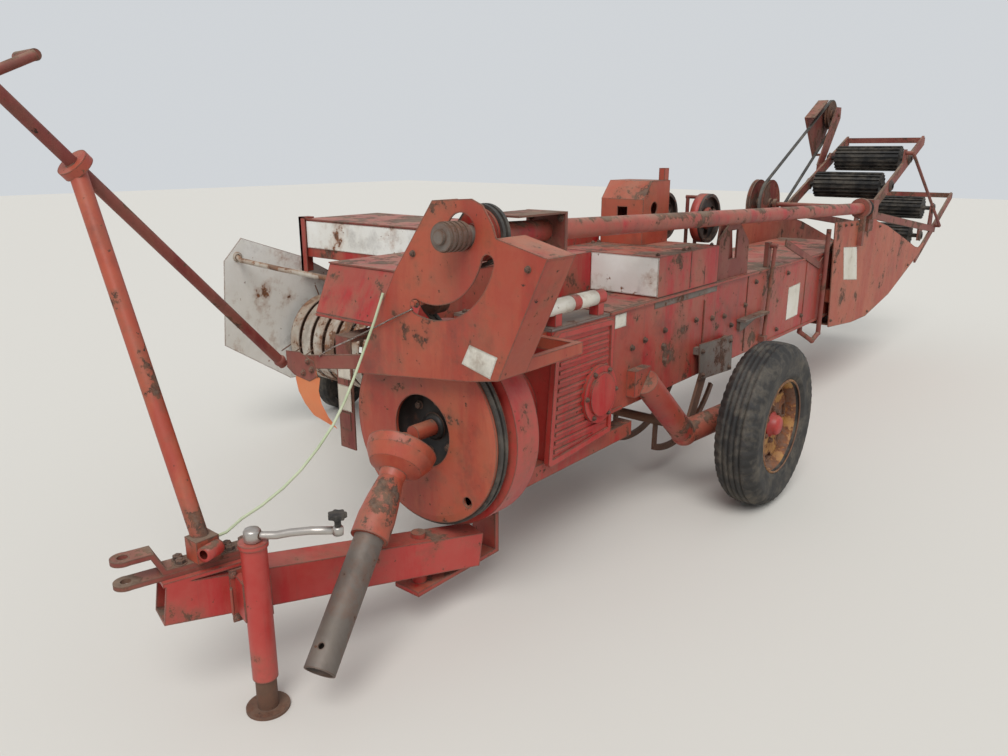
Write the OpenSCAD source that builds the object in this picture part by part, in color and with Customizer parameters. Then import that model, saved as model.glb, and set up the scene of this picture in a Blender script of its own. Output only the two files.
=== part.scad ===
// Pull-type square baler with a roller bale thrower, parked on its wheels and jack.
// x runs to the machine's left from the middle of the bale chamber, y to the rear from the
// wheel axle, z up from the ground. Every sub-part is set back to the hitch pin at the end.

/* [Hitch and tongue] */
// Hitch pin across the machine
pin_x = -125; // [-160:1:-100]
// Hitch pin ahead of the axle
pin_y = -2605; // [-2640:1:-2590]
// Middle of the clevis above the ground
pin_z = 480; // [470:1:500]
// Radius of the hitch pin hole
pin_r = 14; // [10:0.5:18]
// Thickness of one hitch strap
strap_t = 14; // [10:1:20]
// Gap between the two hitch straps
strap_gap = 56; // [50:1:60]
// Width of a hitch strap
strap_w = 64; // [54:1:80]
// Tongue tube across
tongue_w = 100; // [80:1:110]
// Tongue tube height
tongue_h = 120; // [100:1:124]
// Wall of the tongue tube
tongue_wall = 8; // [6:1:12]
// Tongue swing pivot across the machine
swing_x = 100; // [80:1:110]
// Tongue swing pivot ahead of the axle
swing_y = -1750; // [-1780:1:-1720]
// Radius of the swing pivot pin
swing_r = 24; // [20:1:30]

/* [Jack] */
// Outer radius of the jack tube
jack_r = 36; // [32:0.5:40]
// Wall of the jack tube
jack_wall = 5; // [4:0.5:6]
// Radius of the jack foot
foot_r = 62; // [50:1:80]
// Thickness of the jack foot
foot_t = 8; // [6:1:12]
// Jack axis off the side of the tongue
jack_off = 74; // [64:1:90]
// Jack axis behind the hitch pin, along the tongue
jack_back = 305; // [290:1:330]

/* [Bale chamber] */
// Outside width of the chamber
chamber_w = 520; // [500:2:540]
// Underside of the chamber above the ground
chamber_lo = 546; // [530:1:560]
// Top of the chamber above the ground
chamber_hi = 960; // [940:1:980]
// Wall of the chamber
chamber_wall = 12; // [8:1:14]
// Front end of the chamber
chamber_y0 = -866; // [-900:1:-850]
// Rear end of the chamber
chamber_y1 = 2210; // [2150:1:2250]
// Knotters behind the axle
knot_y = 200; // [190:1:210]
// Needles out from the middle
needle_x = 110; // [100:1:120]

/* [Running gear] */
// Tyre outer radius
tyre_r = 370; // [360:1:380]
// Tyre width
tyre_w = 190; // [170:1:210]
// Rim flange radius
rim_r = 210; // [200:1:215]
// Left wheel centre out from the chamber middle
left_x = 590; // [580:1:610]
// Right wheel centre out from the chamber middle
right_x = -1750; // [-1780:5:-1740]
// Right wheel centre behind the frame zero
right_y = 60; // [50:5:80]
// Right tyre outer radius
right_r = 340; // [335:1:350]
// Right tyre width
right_w = 150; // [140:1:160]
// Wheel centre behind the frame's zero
wheel_y = -50; // [-60:1:-40]
// Diameter of the axle tubes
axle_d = 110; // [90:1:120]

/* [Flywheel] */
// Height of the crankshaft line
crank_z = 656; // [646:1:666]
// Crankshaft line out from the middle
crank_x = 50; // [40:1:60]
// Radius of the flywheel
fly_r = 350; // [330:1:355]
// Radius of the belt sheave ahead of it
sheave_r = 320; // [300:1:325]
// Front face of the belt sheave
sheave_y = -1670; // [-1680:1:-1665]
// Width of the belt sheave
sheave_w = 62; // [50:1:64]

/* [Thrower drive] */
// Radius of the drive tube
tube_r = 34; // [30:1:38]
// Drive tube out from the middle
tube_x = 300; // [295:1:305]
// Height of the drive tube at the belt guard
tube_z0 = 1315; // [1310:1:1320]
// Height of the drive tube at the thrower
tube_z1 = 1190; // [1185:1:1195]
// Rear end of the drive tube
tube_y1 = 2132; // [2120:1:2132]
// Radius of the small belt pulley
pulley_r = 78; // [70:1:84]

/* [Thrower] */
// Outside of a thrower side plate from the middle
side_x = 306; // [300:1:312]
// Thickness of a thrower side plate
side_t = 6; // [5:1:8]
// Radius of a ribbed roller
roller_r = 90; // [84:1:94]
// Ribs round a roller
roller_ribs = 18; // [12:1:24]
// Length of a roller
roller_l = 450; // [430:2:460]

/* [Pickup] */
// Reel shaft ahead of the axle
reel_y = -590; // [-600:1:-580]
// Reel shaft above the ground
reel_z = 520; // [510:1:530]
// Radius of the stripper bands
band_r = 240; // [230:1:245]
// Reach of the tine tips from the reel shaft
tine_r = 300; // [290:1:304]
// Left end of the pickup
pickup_x1 = -360; // [-380:1:-350]
// Outer face of the pickup's end shield
pickup_x0 = -1890; // [-1900:1:-1880]
// Stripper bands across the pickup
bands = 14; // [10:1:16]
// Gauge wheel radius
gauge_r = 170; // [160:1:180]

/* [Sheet metal] */
// Thickness of covers and guards
sheet = 5; // [4:0.5:6]
// Running clearance between moving pieces
gap = 6; // [5:0.5:8]

/* [Hidden] */

red = "#a33530";
dark_red = "#7d2f2b";
white = "#d9d8d2";
grey = "#77736d";
black = "#24211f";
rust = "#8a5a3a";
wheel_z = tyre_r;
half = chamber_w / 2;
// the tongue runs from the clevis back and down under the flywheel
tongue_front = 0.09;
tongue_a = [pin_x + (swing_x - pin_x) * tongue_front, pin_y + (swing_y - pin_y) * tongue_front,
  pin_z - strap_gap / 2 - strap_t - tongue_h / 2 - 3];
tongue_b = [swing_x, swing_y, tongue_a.z - 118];
tube_y0 = sheave_y - 30;
tube_a = [tube_x, tube_y0, tube_z0];
tube_b = [tube_x, tube_y1, tube_z1];
// needle yoke pivots on both chamber sides
yoke_y = -5;
yoke_z = 640;
needle_r = 495;
// pivot of the pickup's lift arms
lift_y = -200;
lift_z = 760;
gauge_y = -370;
knot_z = 1236;
// cross shaft of the thrower and the pulley that its belt climbs to
cross_y = 2190;
cross_z = 1187;
cross_r = 165;
upper_y = 3290;
upper_z = 1812;
upper_r = 105;
// idler of the front belts: x, z
idler = [96, 1098];
idler_r = 45;
// ribbed rollers of the thrower: y, z
roller_at = [[3120, 1490], [2710, 1310], [4010, 1090], [3700, 890]];
post_top = [-460, -2440, 1510];
rod_tail = [-545, -1775, 805];
rod_v = post_top - rod_tail;
rod_lean = [0, acos(rod_v.z / norm(rod_v)), atan2(rod_v.y, rod_v.x)];
fine = 48;

module at_hitch() translate([-pin_x, -pin_y, -pin_z]) children();

// round bar from a to b
module bar(a, b, d) {
  v = b - a;
  l = norm(v);
  translate(a) rotate([0, acos(v.z / l), atan2(v.y, v.x)]) cylinder(d = d, h = l, $fn = 32);
}

// square bar from a to b, h in the upright plane and w across
module beam(a, b, h, w) {
  v = b - a;
  l = norm(v);
  translate(a) rotate([0, acos(v.z / l), atan2(v.y, v.x)])
    translate([-h / 2, -w / 2, 0]) cube([h, w, l]);
}

// upright plate along the machine from an outline in y, z
module plate_x(outline, x, t) {
  translate([x, 0, 0]) rotate([90, 0, 90]) linear_extrude(t) polygon(outline);
}

// upright plate across the machine from an outline in x, z
module plate_y(outline, y, t) {
  translate([0, y + t, 0]) rotate([90, 0, 0]) linear_extrude(t) polygon(outline);
}

// box from its low corner to its high corner
module block(lo, hi) {
  translate(lo) cube(hi - lo);
}

// cylinder along x from x0 to x1
module drum_x(x0, x1, y, z, r, n = fine) {
  translate([x0, y, z]) rotate([0, 90, 0]) cylinder(r = r, h = x1 - x0, $fn = n);
}

// cylinder along y from y0 to y1
module drum_y(x, y0, y1, z, r, n = fine) {
  translate([x, y0, z]) rotate([-90, 0, 0]) cylinder(r = r, h = y1 - y0, $fn = n);
}

// round cord of radius r along a list of points
module cord(path, r) {
  sides = 8;
  n = len(path);
  function along(i) = let (d = path[min(i + 1, n - 1)] - path[max(i - 1, 0)]) d / norm(d);
  function ring(i) = let (t = along(i), a = cross([0.3, 0.9, 0.1], t), u = a / norm(a), v = cross(t, u))
    [for (k = [0:sides - 1]) path[i] + r * (cos(k * 360 / sides) * u + sin(k * 360 / sides) * v)];
  points = [for (i = [0:n - 1]) each ring(i)];
  faces = concat(
    [[for (k = [0:sides - 1]) k]],
    [for (i = [0:n - 2], k = [0:sides - 1]) let (a = i * sides + k, b = i * sides + (k + 1) % sides)
      [a, a + sides, b + sides, b]],
    [[for (k = [0:sides - 1]) n * sides - 1 - k]]);
  polyhedron(points, faces, convexity = 8);
}

// children laid along the tongue: local x forward from the swing pivot, z up
tongue_v = tongue_a - tongue_b;
tongue_l = norm(tongue_v);
tongue_turn = atan2(-tongue_v.y, -tongue_v.x);
module on_tongue() {
  translate(tongue_b) rotate([0, -asin(tongue_v.z / tongue_l), atan2(tongue_v.y, tongue_v.x)])
    children();
}

// the jack stands off the tongue's left side
jack_x = pin_x + jack_back * cos(tongue_turn) + (tongue_w / 2 + jack_off) * sin(tongue_turn);
jack_y = pin_y + jack_back * sin(tongue_turn) - (tongue_w / 2 + jack_off) * cos(tongue_turn);

module tongue_beam() color(red) at_hitch() {
  difference() {
    union() {
      on_tongue() translate([-220, -tongue_w / 2, -tongue_h / 2])
        cube([tongue_l + 220, tongue_w, tongue_h]);
      // level shelf under the hitch straps
      translate([pin_x, pin_y, pin_z - strap_gap / 2 - strap_t - 12]) rotate([0, 0, tongue_turn])
        translate([80, -tongue_w / 2, 0]) cube([240, tongue_w, 12]);
    }
    on_tongue() translate([-221, tongue_wall - tongue_w / 2, tongue_wall - tongue_h / 2])
      cube([tongue_l + 222, tongue_w - 2 * tongue_wall, tongue_h - 2 * tongue_wall]);
    translate([swing_x, swing_y, 100]) cylinder(r = swing_r + 0.5, h = 300, $fn = fine);
  }
  // bush round the swing pin
  difference() {
    translate([swing_x, swing_y, tongue_b.z - 52]) cylinder(r = swing_r + 14, h = 104, $fn = fine);
    translate([swing_x, swing_y, 100]) cylinder(r = swing_r + 0.5, h = 300, $fn = fine);
  }
}

module hitch_clevis() color(dark_red) at_hitch() {
  face = strap_gap / 2;
  outer = face + strap_t;
  translate([pin_x, pin_y, pin_z]) rotate([0, 0, tongue_turn]) difference() {
    union() {
      for (z = [-outer, face]) translate([0, 0, z]) cylinder(d = strap_w, h = strap_t, $fn = fine);
      translate([0, 1 - strap_w / 2, -outer]) cube([330, strap_w - 2, strap_t]);
      // the upper strap bends down behind the pin and runs back on the lower one
      translate([0, strap_w / 2 - 2, 0]) rotate([90, 0, 0]) linear_extrude(strap_w - 4)
        polygon([[0, face], [62, face], [88, -face], [342, -face], [342, strap_t - face], [98, strap_t - face],
          [72, outer], [0, outer]]);
    }
    translate([0, 0, -outer - 1]) cylinder(r = pin_r, h = 2 * outer + 2, $fn = fine);
  }
}

module control_post() color(red) at_hitch() {
  foot = [pin_x + 65, pin_y + 190, pin_z + 24];
  difference() {
    union() {
      bar(foot, post_top, 48);
      translate([foot.x - 30, foot.y - 34, pin_z - strap_gap / 2 + strap_t + 0.3]) cube([60, 68, 66]);
      translate(post_top) rotate(rod_lean) cylinder(r = 46, h = 26, center = true, $fn = fine);
    }
    translate(post_top) rotate(rod_lean) cylinder(r = 17.8, h = 200, center = true, $fn = fine);
    translate([-1000, -3000, pin_z - 200]) cube([2000, 2000, 200 - strap_gap / 2 + strap_t]);
  }
}

module control_rod() color(red) at_hitch() {
  tip = post_top + (post_top - rod_tail) * 0.3;
  bar(rod_tail, tip, 35);
  bar(tip, tip + [0, 130, 60], 26);
  bar(tip + [0, 130, 60], tip + [-110, 130, 60], 30);
}

module jack_tube() color(red) at_hitch() {
  top = 515;
  low = 104;
  difference() {
    union() {
      translate([jack_x, jack_y, low]) cylinder(r = jack_r, h = top - low, $fn = fine);
      translate([jack_x, jack_y, top]) cylinder(r = jack_r + 5, h = 14, $fn = fine);
      // swivel mount on the side of the tongue
      translate([jack_x, jack_y, 290]) rotate([0, 0, tongue_turn]) translate([-40, 0, 0])
        cube([80, jack_off - 0.3, 120]);
    }
    translate([jack_x, jack_y, low - 1]) cylinder(r = jack_r - jack_wall, h = top - low - 10, $fn = fine);
  }
}

module jack_crank() color(grey) at_hitch() translate([0, 0, 529.3]) {
  grip = [268, -2205, 43];
  translate([jack_x, jack_y, 0]) cylinder(r = 20, h = 38, $fn = 32);
  beam([jack_x, jack_y, 28], grip, 14, 28);
  translate(grip - [0, 0, 4]) cylinder(r = 8, h = 24, $fn = 32);
  translate(grip + [0, 0, 12]) cylinder(r = 25, h = 40, $fn = 32);
}

module jack_leg() color(rust) at_hitch() {
  translate([jack_x, jack_y, foot_t]) cylinder(r = jack_r - jack_wall - 1, h = 300, $fn = fine);
  translate([jack_x, jack_y, 0]) cylinder(r = foot_r, h = foot_t, $fn = fine);
}

// children along the drive line: z runs from the joint to the tail
pto_joint = [crank_x, swing_y - 4, crank_z - 26];
pto_tail = [250, -2285, 165];
module on_pto() {
  v = pto_tail - pto_joint;
  translate(pto_joint) rotate([0, acos(v.z / norm(v)), atan2(v.y, v.x)]) children();
}

module pto_shaft() color(red) at_hitch() {
  translate(pto_joint) sphere(d = 84, $fn = 32);
  // bell over the joint, narrow neck and outer tube
  on_pto() rotate_extrude($fn = fine) polygon([[0, 30], [30, 52], [78, 66], [104, 40], [110, 14], [115, 14],
    [110, 46], [86, 84], [44, 104], [40, 128], [52, 200], [59, 262], [59, 330], [46.3, 330], [46.3, 240], [0, 240]]);
}

module pto_tube() color(rust) at_hitch() on_pto() difference() {
  translate([0, 0, 240.3]) cylinder(r = 46, h = norm(pto_tail - pto_joint) - 240.3, $fn = fine);
  translate([0, 0, 320]) cylinder(r = 39, h = 500, $fn = fine);
  translate([0, 0, norm(pto_tail - pto_joint) - 60]) rotate([0, 90, 0]) cylinder(r = 9, h = 140, center = true, $fn = 24);
}

module front_frame() color(red) at_hitch() {
  pin_base = tongue_b.z - 117;
  // two sills under the gearbox, tied by a cross member with a goose neck down to the swing pin
  for (x = [-205, 185]) block([x, -1400, 400], [x + 60, -640, 461.7]);
  block([-145, -1400, 400], [185, -1330, 461.7]);
  block([swing_x - 55, -1420, pin_base], [swing_x + 55, -1400, 461.7]);
  block([swing_x - 55, swing_y - 60, pin_base], [swing_x + 55, -1420, pin_base + 16]);
  translate([swing_x, swing_y, pin_base]) cylinder(r = swing_r, h = 196, $fn = fine);
}

module bale_chamber() color(red) at_hitch() difference() {
  block([-half, chamber_y0, chamber_lo], [half, chamber_y1, chamber_hi]);
  block([-half + chamber_wall, chamber_y0 - 1, chamber_lo + chamber_wall],
    [half - chamber_wall, chamber_y1 + 1, chamber_hi - chamber_wall]);
  // hay comes in from the feeder on the right
  block([-half - 1, -720, 640], [-half + chamber_wall + 1, -250, 940]);
  // slots for the two needles, through floor and top
  for (x = [-needle_x, needle_x])
    block([x - 20, 60, chamber_lo - 1], [x + 20, 515, chamber_hi + 1]);
}

module chamber_hood() color(red) at_hitch() difference() {
  union() {
    block([-half, -500, chamber_hi], [half, 60, 1130]);
    block([-half, -850, chamber_hi], [-70, -500, 1128]);
  }
  block([-half + sheet, -500 + sheet, chamber_hi - 1], [half - sheet, 60 - sheet, 1130 - sheet]);
  block([-half + sheet, -850 + sheet, chamber_hi - 1], [-70 - sheet, -480, 1128 - sheet]);
}

module slotted_mast() color(dark_red) at_hitch() difference() {
  plate_x([[85, chamber_hi], [425, chamber_hi], [415, 1120], [300, 1215], [180, 1215], [80, 1150]], 240, 10);
  plate_x([[190, 1050], [280, 1050], [280, 1185], [190, 1185]], 230, 30);
}

module gearbox_housing() color(red) at_hitch() {
  block([-200, -1240, 462], [262, chamber_y0, 945]);
  // pressed pan on the left: a border round a sunk field with level ribs
  pan = [[-1276, 470], [-1262, 456], [-870, 486], [-866.3, 496], [-866.3, 925], [-876, 937],
    [-1216, 943], [-1236, 930]];
  field = [[-1252, 482], [-886, 508], [-886, 915], [-1214, 920]];
  difference() {
    plate_x(pan, 262, 22);
    plate_x(field, 276, 20);
  }
  intersection() {
    for (i = [0:12]) block([275, -1300, 500 + i * 32], [282, -860, 513 + i * 32]);
    plate_x([[-1238, 496], [-900, 519], [-900, 905], [-1204, 909]], 270, 20);
  }
  drum_x(274, 296, -962, 664, 112);
  drum_x(290, 306, -962, 664, 84);
  // shaft housing toward the flywheel
  drum_y(crank_x, -1390, -1240, crank_z, 150);
}

module top_deck() color(grey) at_hitch() {
  block([-200, -1240, 945], [262, chamber_y0, 956]);
}

module deck_tube() color(red) at_hitch() {
  bar([235, -1400, 1022], [235, -890, 1022], 56);
  for (y = [-1210, -940]) block([215, y, 956], [255, y + 40, 1005]);
}

// strip t wide inside the edge from a to b of an outline, back from y
module flange(a, b, y, depth, t = 6) {
  n = t * [a.y - b.y, b.x - a.x] / norm(b - a);
  plate_y([a, b, b + n, a + n], y, depth);
}

module belt_guard() color(red) at_hitch() {
  y = sheave_y - 56;
  outline = [[-205, 822], [312, 885], [428, 908], [598, 1274], [420, 1316], [408, 1350], [371, 1404],
    [329, 1420], [177, 1410], [5, 1185]];
  arc_c = [165, 1310];
  arc_r = 233;
  slot_w = 46;
  difference() {
    plate_y(outline, y, sheet);
    // round hole behind the drum, and the curved slot that the idler swings in
    translate([290, y - 1, 1326]) rotate([-90, 0, 0]) cylinder(r = 54, h = 20, $fn = fine);
    intersection() {
      translate([arc_c[0], y - 1, arc_c[1]]) rotate([-90, 0, 0]) difference() {
        cylinder(r = arc_r + slot_w / 2, h = 20, $fn = 96);
        translate([0, 0, -1]) cylinder(r = arc_r - slot_w / 2, h = 22, $fn = 96);
      }
      plate_y([arc_c, [arc_c[0] - 155, 800], [arc_c[0] + 300, 800], [arc_c[0] + 400, arc_c[1] - 115]], y - 2, 24);
    }
    for (a = [-107, -16]) translate([arc_c[0] + arc_r * cos(a), y - 1, arc_c[1] + arc_r * sin(a)])
      rotate([-90, 0, 0]) cylinder(d = slot_w - 0.4, h = 20, $fn = 32);
  }
  // flanges back from the plate's edges
  for (p = [[0, 1, 48], [1, 2, 48], [2, 3, 130], [3, 4, 130]]) flange(outline[p[0]], outline[p[1]], y, p[2]);
  flange(outline[8], outline[8] + 0.62 * (outline[9] - outline[8]), y, 110);
  // stay to the gearbox
  block([400, -1620, 905], [424, -1300, 945]);
  block([200, -1320, 905], [424, -1290, 945]);
  block([200, -1292, 905], [240, -1240.3, 945]);
  // arm of the idler and its pin
  beam([idler.x, y + sheet + 6, idler.y], [arc_c[0], y + sheet + 6, arc_c[1]], 40, 11.4);
  drum_y(idler.x, y - 14, y + 90, idler.y, 10, 32);
}

module tube_bearings() color(dark_red) at_hitch() {
  // folded bracket behind the belt guard: cross plate, top sheet and leg on the deck
  difference() {
    union() {
      plate_y([[236, 1215], [372, 1215], [384, 1250], [384, 1366], [228, 1366], [228, 1240]], -1345, 12);
      block([236, -1580, 1360], [384, -1334, 1366]);
      beam([156, -1215, 975], [250, -1338, 1240], 40, 28);
      block([141, -1238, 956], [171, -1180, 985]);
    }
    bar(tube_a, tube_b, 2 * tube_r + 1);
  }
  // rear bearing on the thrower's left side plate
  difference() {
    union() {
      block([side_x + 0.3, 2000, 960], [side_x + 30, 2040, 1150]);
      drum_y(tube_x, 2000, 2040, tube_z1 + 5, 62);
    }
    bar(tube_a, tube_b, 2 * tube_r + 1);
  }
}

module feeder_housing() color(red) at_hitch() {
  difference() {
    block([-1830, -690, 985], [-half, -150, 1190]);
    block([-1830 + sheet, -690 + sheet, 984], [-half - sheet, -150 - sheet, 1190 - sheet]);
  }
  // back wall, floor behind the reel and the right end wall
  block([-1830, -155, 690], [-half, -150, 986]);
  block([-1830, -320, 690], [-half, -154, 695]);
  block([-1830, -320, 690], [-1825, -154, 986]);
}

// panels in white: on the hood's front and on the feeder's front
module white_panels() color(white) at_hitch() {
  block([-68, -505, 966], [half, -500, 1127]);
  block([-1800, -695, 1035], [-700, -690, 1180]);
}

module twine_box() color(red) at_hitch() difference() {
  plate_x([[-1450, 920], [-1365, 1108], [chamber_y0, 1108], [chamber_y0, 900], [-1430, 900]], -765, 560);
  plate_x([[-1425, 905], [-1355, 1110], [chamber_y0 - 6, 1110], [chamber_y0 - 6, 905]], -760, 550);
}

module twine_lid() color(red) at_hitch() block([-768, -1370, 1108.5], [-202, chamber_y0 - 6, 1114]);

module front_brackets() color(dark_red) at_hitch() {
  // bracket of the control rod, on the back of the belt guard
  y = sheave_y - 56 + sheet + 0.3;
  beam([-120, y + 7, 873], [-560, y + 7, 800], 50, 14);
  block([-590, y + 1, 770], [-520, y + 19, 830]);
  // reflector board hung from the twine box
  block([-590, -1500, 400], [-500, -1494, 860]);
  for (z = [480, 620]) block([-575, -1504, z], [-520, -1500, z + 70]);
  block([-590, -1495, 840], [-500, -900, 860]);
  block([-590, -920, 859], [-500, -900, 899.7]);
}

// pale rope from the belt guard down to the foot of the control post
rope_path = [[-41, -1734, 1115], [-60, -1760, 1023], [-68, -1800, 938], [-64, -1850, 857], [-53, -1900, 795],
  [-42, -1960, 734], [-45, -2020, 675], [-41, -2090, 627], [-37, -2160, 593], [-44, -2230, 561],
  [-58, -2290, 537], [-62, -2340, 512], [-62, -2380.7, 512]];
module tie_rope() color("#b9c3a0") at_hitch() cord(rope_path, 4.5);

module left_axle() color(dark_red) at_hitch() {
  // flattened end bolted to the chamber side, tube down and back, then out to the hub
  difference() {
    union() {
      bar([300, -640, 640], [318, -300, 330], axle_d);
      block([half, -720, 590], [300, -600, 700]);
    }
    block([0, -1000, 0], [half, 1000, 2000]);
  }
  translate([318, -300, 330]) sphere(d = axle_d + 8, $fn = 32);
  bar([318, -300, 330], [400, wheel_y, wheel_z], axle_d);
  drum_x(400, left_x - 90, wheel_y, wheel_z, 50);
  drum_x(left_x - 90, left_x + 60, wheel_y, wheel_z, 19.9);
}

module right_axle() color(dark_red) at_hitch() {
  inner = right_x + right_w / 2 + 35;
  // beam off the chamber side, back behind the reel to the right wheel
  block([inner, -250, 500], [-half, -170, 580]);
  block([inner, -170, 500], [inner + 50, right_y + 40, 580]);
  block([inner, right_y - 40, right_r - 40], [inner + 50, right_y + 40, 500]);
  drum_x(right_x + 82, inner, right_y, right_r, 42);
  drum_x(right_x - 50, right_x + 82, right_y, right_r, 19.9);
}

module tyre(x, y, r, w) {
  translate([x, y, r]) rotate([0, 90, 0]) rotate_extrude($fn = 72) polygon([
    [rim_r, -60], [rim_r + 30, -0.46 * w], [r - 70, -0.5 * w], [r - 20, -0.41 * w], [r, -0.29 * w],
    [r, 0.29 * w], [r - 20, 0.41 * w], [r - 70, 0.5 * w], [rim_r + 30, 0.46 * w], [rim_r, 60],
    [rim_r - 14, 59.7], [rim_r - 14, -59.7]]);
}

// side is 1 where the wheel's outer face looks to +x
module rim(x, y, z, side) {
  well = rim_r - 14;
  translate([x, y, z]) rotate([0, 90 * side, 0]) rotate_extrude($fn = 72) polygon([
    [20, -80], [44, -80], [44, 18], [140, 4], [well - 16, 14], [well - 8, -60], [well, -60],
    [well, 60], [rim_r, 60.3], [rim_r + 4, 76], [rim_r - 2, 78], [rim_r - 8, 66], [well - 8, 66],
    [well - 24, 24], [140, 12], [60, 26], [60, 56], [20, 56]]);
  translate([x, y, z]) rotate([0, 90 * side, 0]) rotate_extrude($fn = 72) polygon([
    [well - 8, -66], [rim_r - 8, -66], [rim_r - 2, -78], [rim_r + 4, -76], [rim_r, -60.3],
    [well - 8, -60]]);
}

module left_tyre() color(black) at_hitch() tyre(left_x, wheel_y, tyre_r, tyre_w);
module right_tyre() color(black) at_hitch() tyre(right_x, right_y, right_r, right_w);
module left_rim() color("#b98a3c") at_hitch() rim(left_x, wheel_y, wheel_z, 1);
module right_rim() color("#b98a3c") at_hitch() rim(right_x, right_y, right_r, -1);

module flywheel() color(red) at_hitch() {
  translate([crank_x, -1600, crank_z]) rotate([-90, 0, 0]) rotate_extrude($fn = 96) polygon([
    [0, 30], [90, 30], [90, 40], [fly_r - 50, 50], [fly_r - 50, 0], [fly_r, 0], [fly_r, 110],
    [fly_r - 50, 110], [fly_r - 50, 66], [90, 60], [60, 90], [60, 209.5], [0, 209.5]]);
}

module belt_sheave() color(red) at_hitch() {
  // shaft end toward the universal joint
  drum_y(crank_x, -1711.5, sheave_y + 62, crank_z, 28, 32);
  difference() {
    translate([crank_x, sheave_y, crank_z]) rotate([-90, 0, 0]) rotate_extrude($fn = 96) polygon([
      [0, 60], [124, 60], [124, 0], [sheave_r - 24, 0], [sheave_r, 4], [sheave_r, 12],
      [sheave_r - 16, 20], [sheave_r, 28], [sheave_r, 34], [sheave_r - 16, 42], [sheave_r, 50],
      [sheave_r, sheave_w], [sheave_r - 30, sheave_w], [sheave_r - 30, 10], [132, 10],
      [132, 76], [60, 84], [60, 99.7], [0, 99.7]]);
    drum_y(crank_x + 200, sheave_y - 1, sheave_y + 40, crank_z - 200, 18);
  }
}

module drive_tube() color(red) at_hitch() {
  bar(tube_a, tube_b, 2 * tube_r);
  v = (tube_b - tube_a) / norm(tube_b - tube_a);
  bar(tube_a + v * 34, tube_a + v * 86, 2 * pulley_r);
}

module shaft_drum() color(grey) at_hitch() {
  v = (tube_b - tube_a) / norm(tube_b - tube_a);
  bar(tube_a - v * 120, tube_a - v * 33, 80);
  bar(tube_a - v * 34, tube_a - v * 0.3, 60);
  for (k = [0:3]) bar(tube_a - v * (112 - k * 20), tube_a - v * (100 - k * 20), 86);
  bar(tube_a - v * 132, tube_a - v * 119, 40);
}

// belt of thickness t round two discs, c as x, z
module belt_loop(c1, r1, c2, r2, t) {
  d = c2 - c1;
  l = norm(d);
  lean = atan2(d.y, d.x);
  a = acos((r1 - r2) / l);
  module blank(o) {
    translate(c1) circle(r = r1 + o, $fn = 72);
    translate(c2) circle(r = r2 + o, $fn = fine);
    polygon([for (p = [[c1, r1, a], [c2, r2, a], [c2, r2, -a], [c1, r1, -a]])
      p[0] + (p[1] + o) * [cos(lean + p[2]), sin(lean + p[2])]]);
  }
  difference() {
    blank(t);
    blank(0);
  }
}

// belt from disc 1 over the back of an idler to disc 2: inner radii r1, r2, the idler's own ri
module idler_loop(c1, r1, c2, r2, ci, ri, t) {
  function lean(a, b) = atan2(b.y - a.y, b.x - a.x);
  function ray(a) = [cos(a), sin(a)];
  ro = ri + t;
  open = lean(c1, c2) + acos((r1 - r2) / norm(c2 - c1));
  leave = lean(c1, ci) - acos((r1 + ro) / norm(ci - c1));
  meet = lean(ci, c2) - acos(-(r2 + ro) / norm(c2 - ci));
  function turn(c, r, a0, a1, n) = [for (k = [0:n]) c + r * ray(a0 + (a1 - a0) * k / n)];
  function outline(o) = concat(turn(c1, r1 + o, open, leave + 360, 48), turn(ci, ro - o, leave + 180, meet + 180, 12),
    turn(c2, r2 + o, meet, open, 24));
  difference() {
    polygon(outline(t));
    polygon(outline(0));
  }
}

module drive_belts() color(black) at_hitch() {
  for (y = [sheave_y + 14, sheave_y + 36]) translate([0, y + 12, 0]) rotate([90, 0, 0])
    linear_extrude(12)
      idler_loop([crank_x, crank_z], sheave_r + 0.5, [tube_x, tube_z0 - 2], pulley_r + 1.5, idler, idler_r + 0.5, 10);
  // single belt up to the thrower's upper rollers
  translate([-side_x - 72, 0, 0]) rotate([90, 0, 90]) linear_extrude(20)
    belt_loop([cross_y, cross_z], cross_r + 0.5, [upper_y, upper_z], upper_r + 0.5, 9);
}

module pickup_frame() color(grey) at_hitch() {
  step = (pickup_x1 - pickup_x0 - 140) / bands;
  tail_y = reel_y + 222;
  // stripper bands round the reel's front, with flat tails behind the tines' sweep
  for (i = [0:bands - 1]) {
    x = pickup_x0 + 60 + i * step;
    difference() {
      drum_x(x, x + step - 26, reel_y, reel_z, band_r);
      drum_x(x - 1, x + step - 25, reel_y, reel_z, band_r - 4);
      block([x - 1, reel_y, 0], [x + step, reel_y + 400, 1000]);
    }
    for (z = [reel_z + band_r - 4, reel_z - band_r]) block([x, reel_y - 1, z], [x + step - 26, tail_y, z + 4]);
  }
  for (z = [reel_z + band_r - 6, reel_z - band_r - 8])
    block([pickup_x0 + sheet + 0.3, tail_y - 12, z], [pickup_x1, tail_y + 16, z + 14]);
  // left end plate and the reel's bearing there
  difference() {
    drum_x(pickup_x1, pickup_x1 + sheet, reel_y, reel_z, band_r + 20);
    drum_x(pickup_x1 - 5, pickup_x1 + 20, reel_y, reel_z, 24.5);
  }
  plate_x([[reel_y, 270], [tail_y + 30, 270], [tail_y + 30, 780], [reel_y, 780], [reel_y + 40, reel_z]], pickup_x1, sheet);
  // lift arms back to the pivot pins on the feeder
  for (x = [pickup_x1 + sheet, pickup_x0 + sheet + 0.3]) {
    beam([x + 6, tail_y - 14, reel_z + band_r], [x + 6, lift_y, lift_z], 50, 12);
    drum_x(x, x + 12, lift_y, lift_z, 34);
  }
  drum_x(pickup_x1 + sheet, -half - 0.7, lift_y, lift_z, 20);
  drum_x(pickup_x0 + sheet + 0.3, -1830.7, lift_y, lift_z, 20);
}

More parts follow.
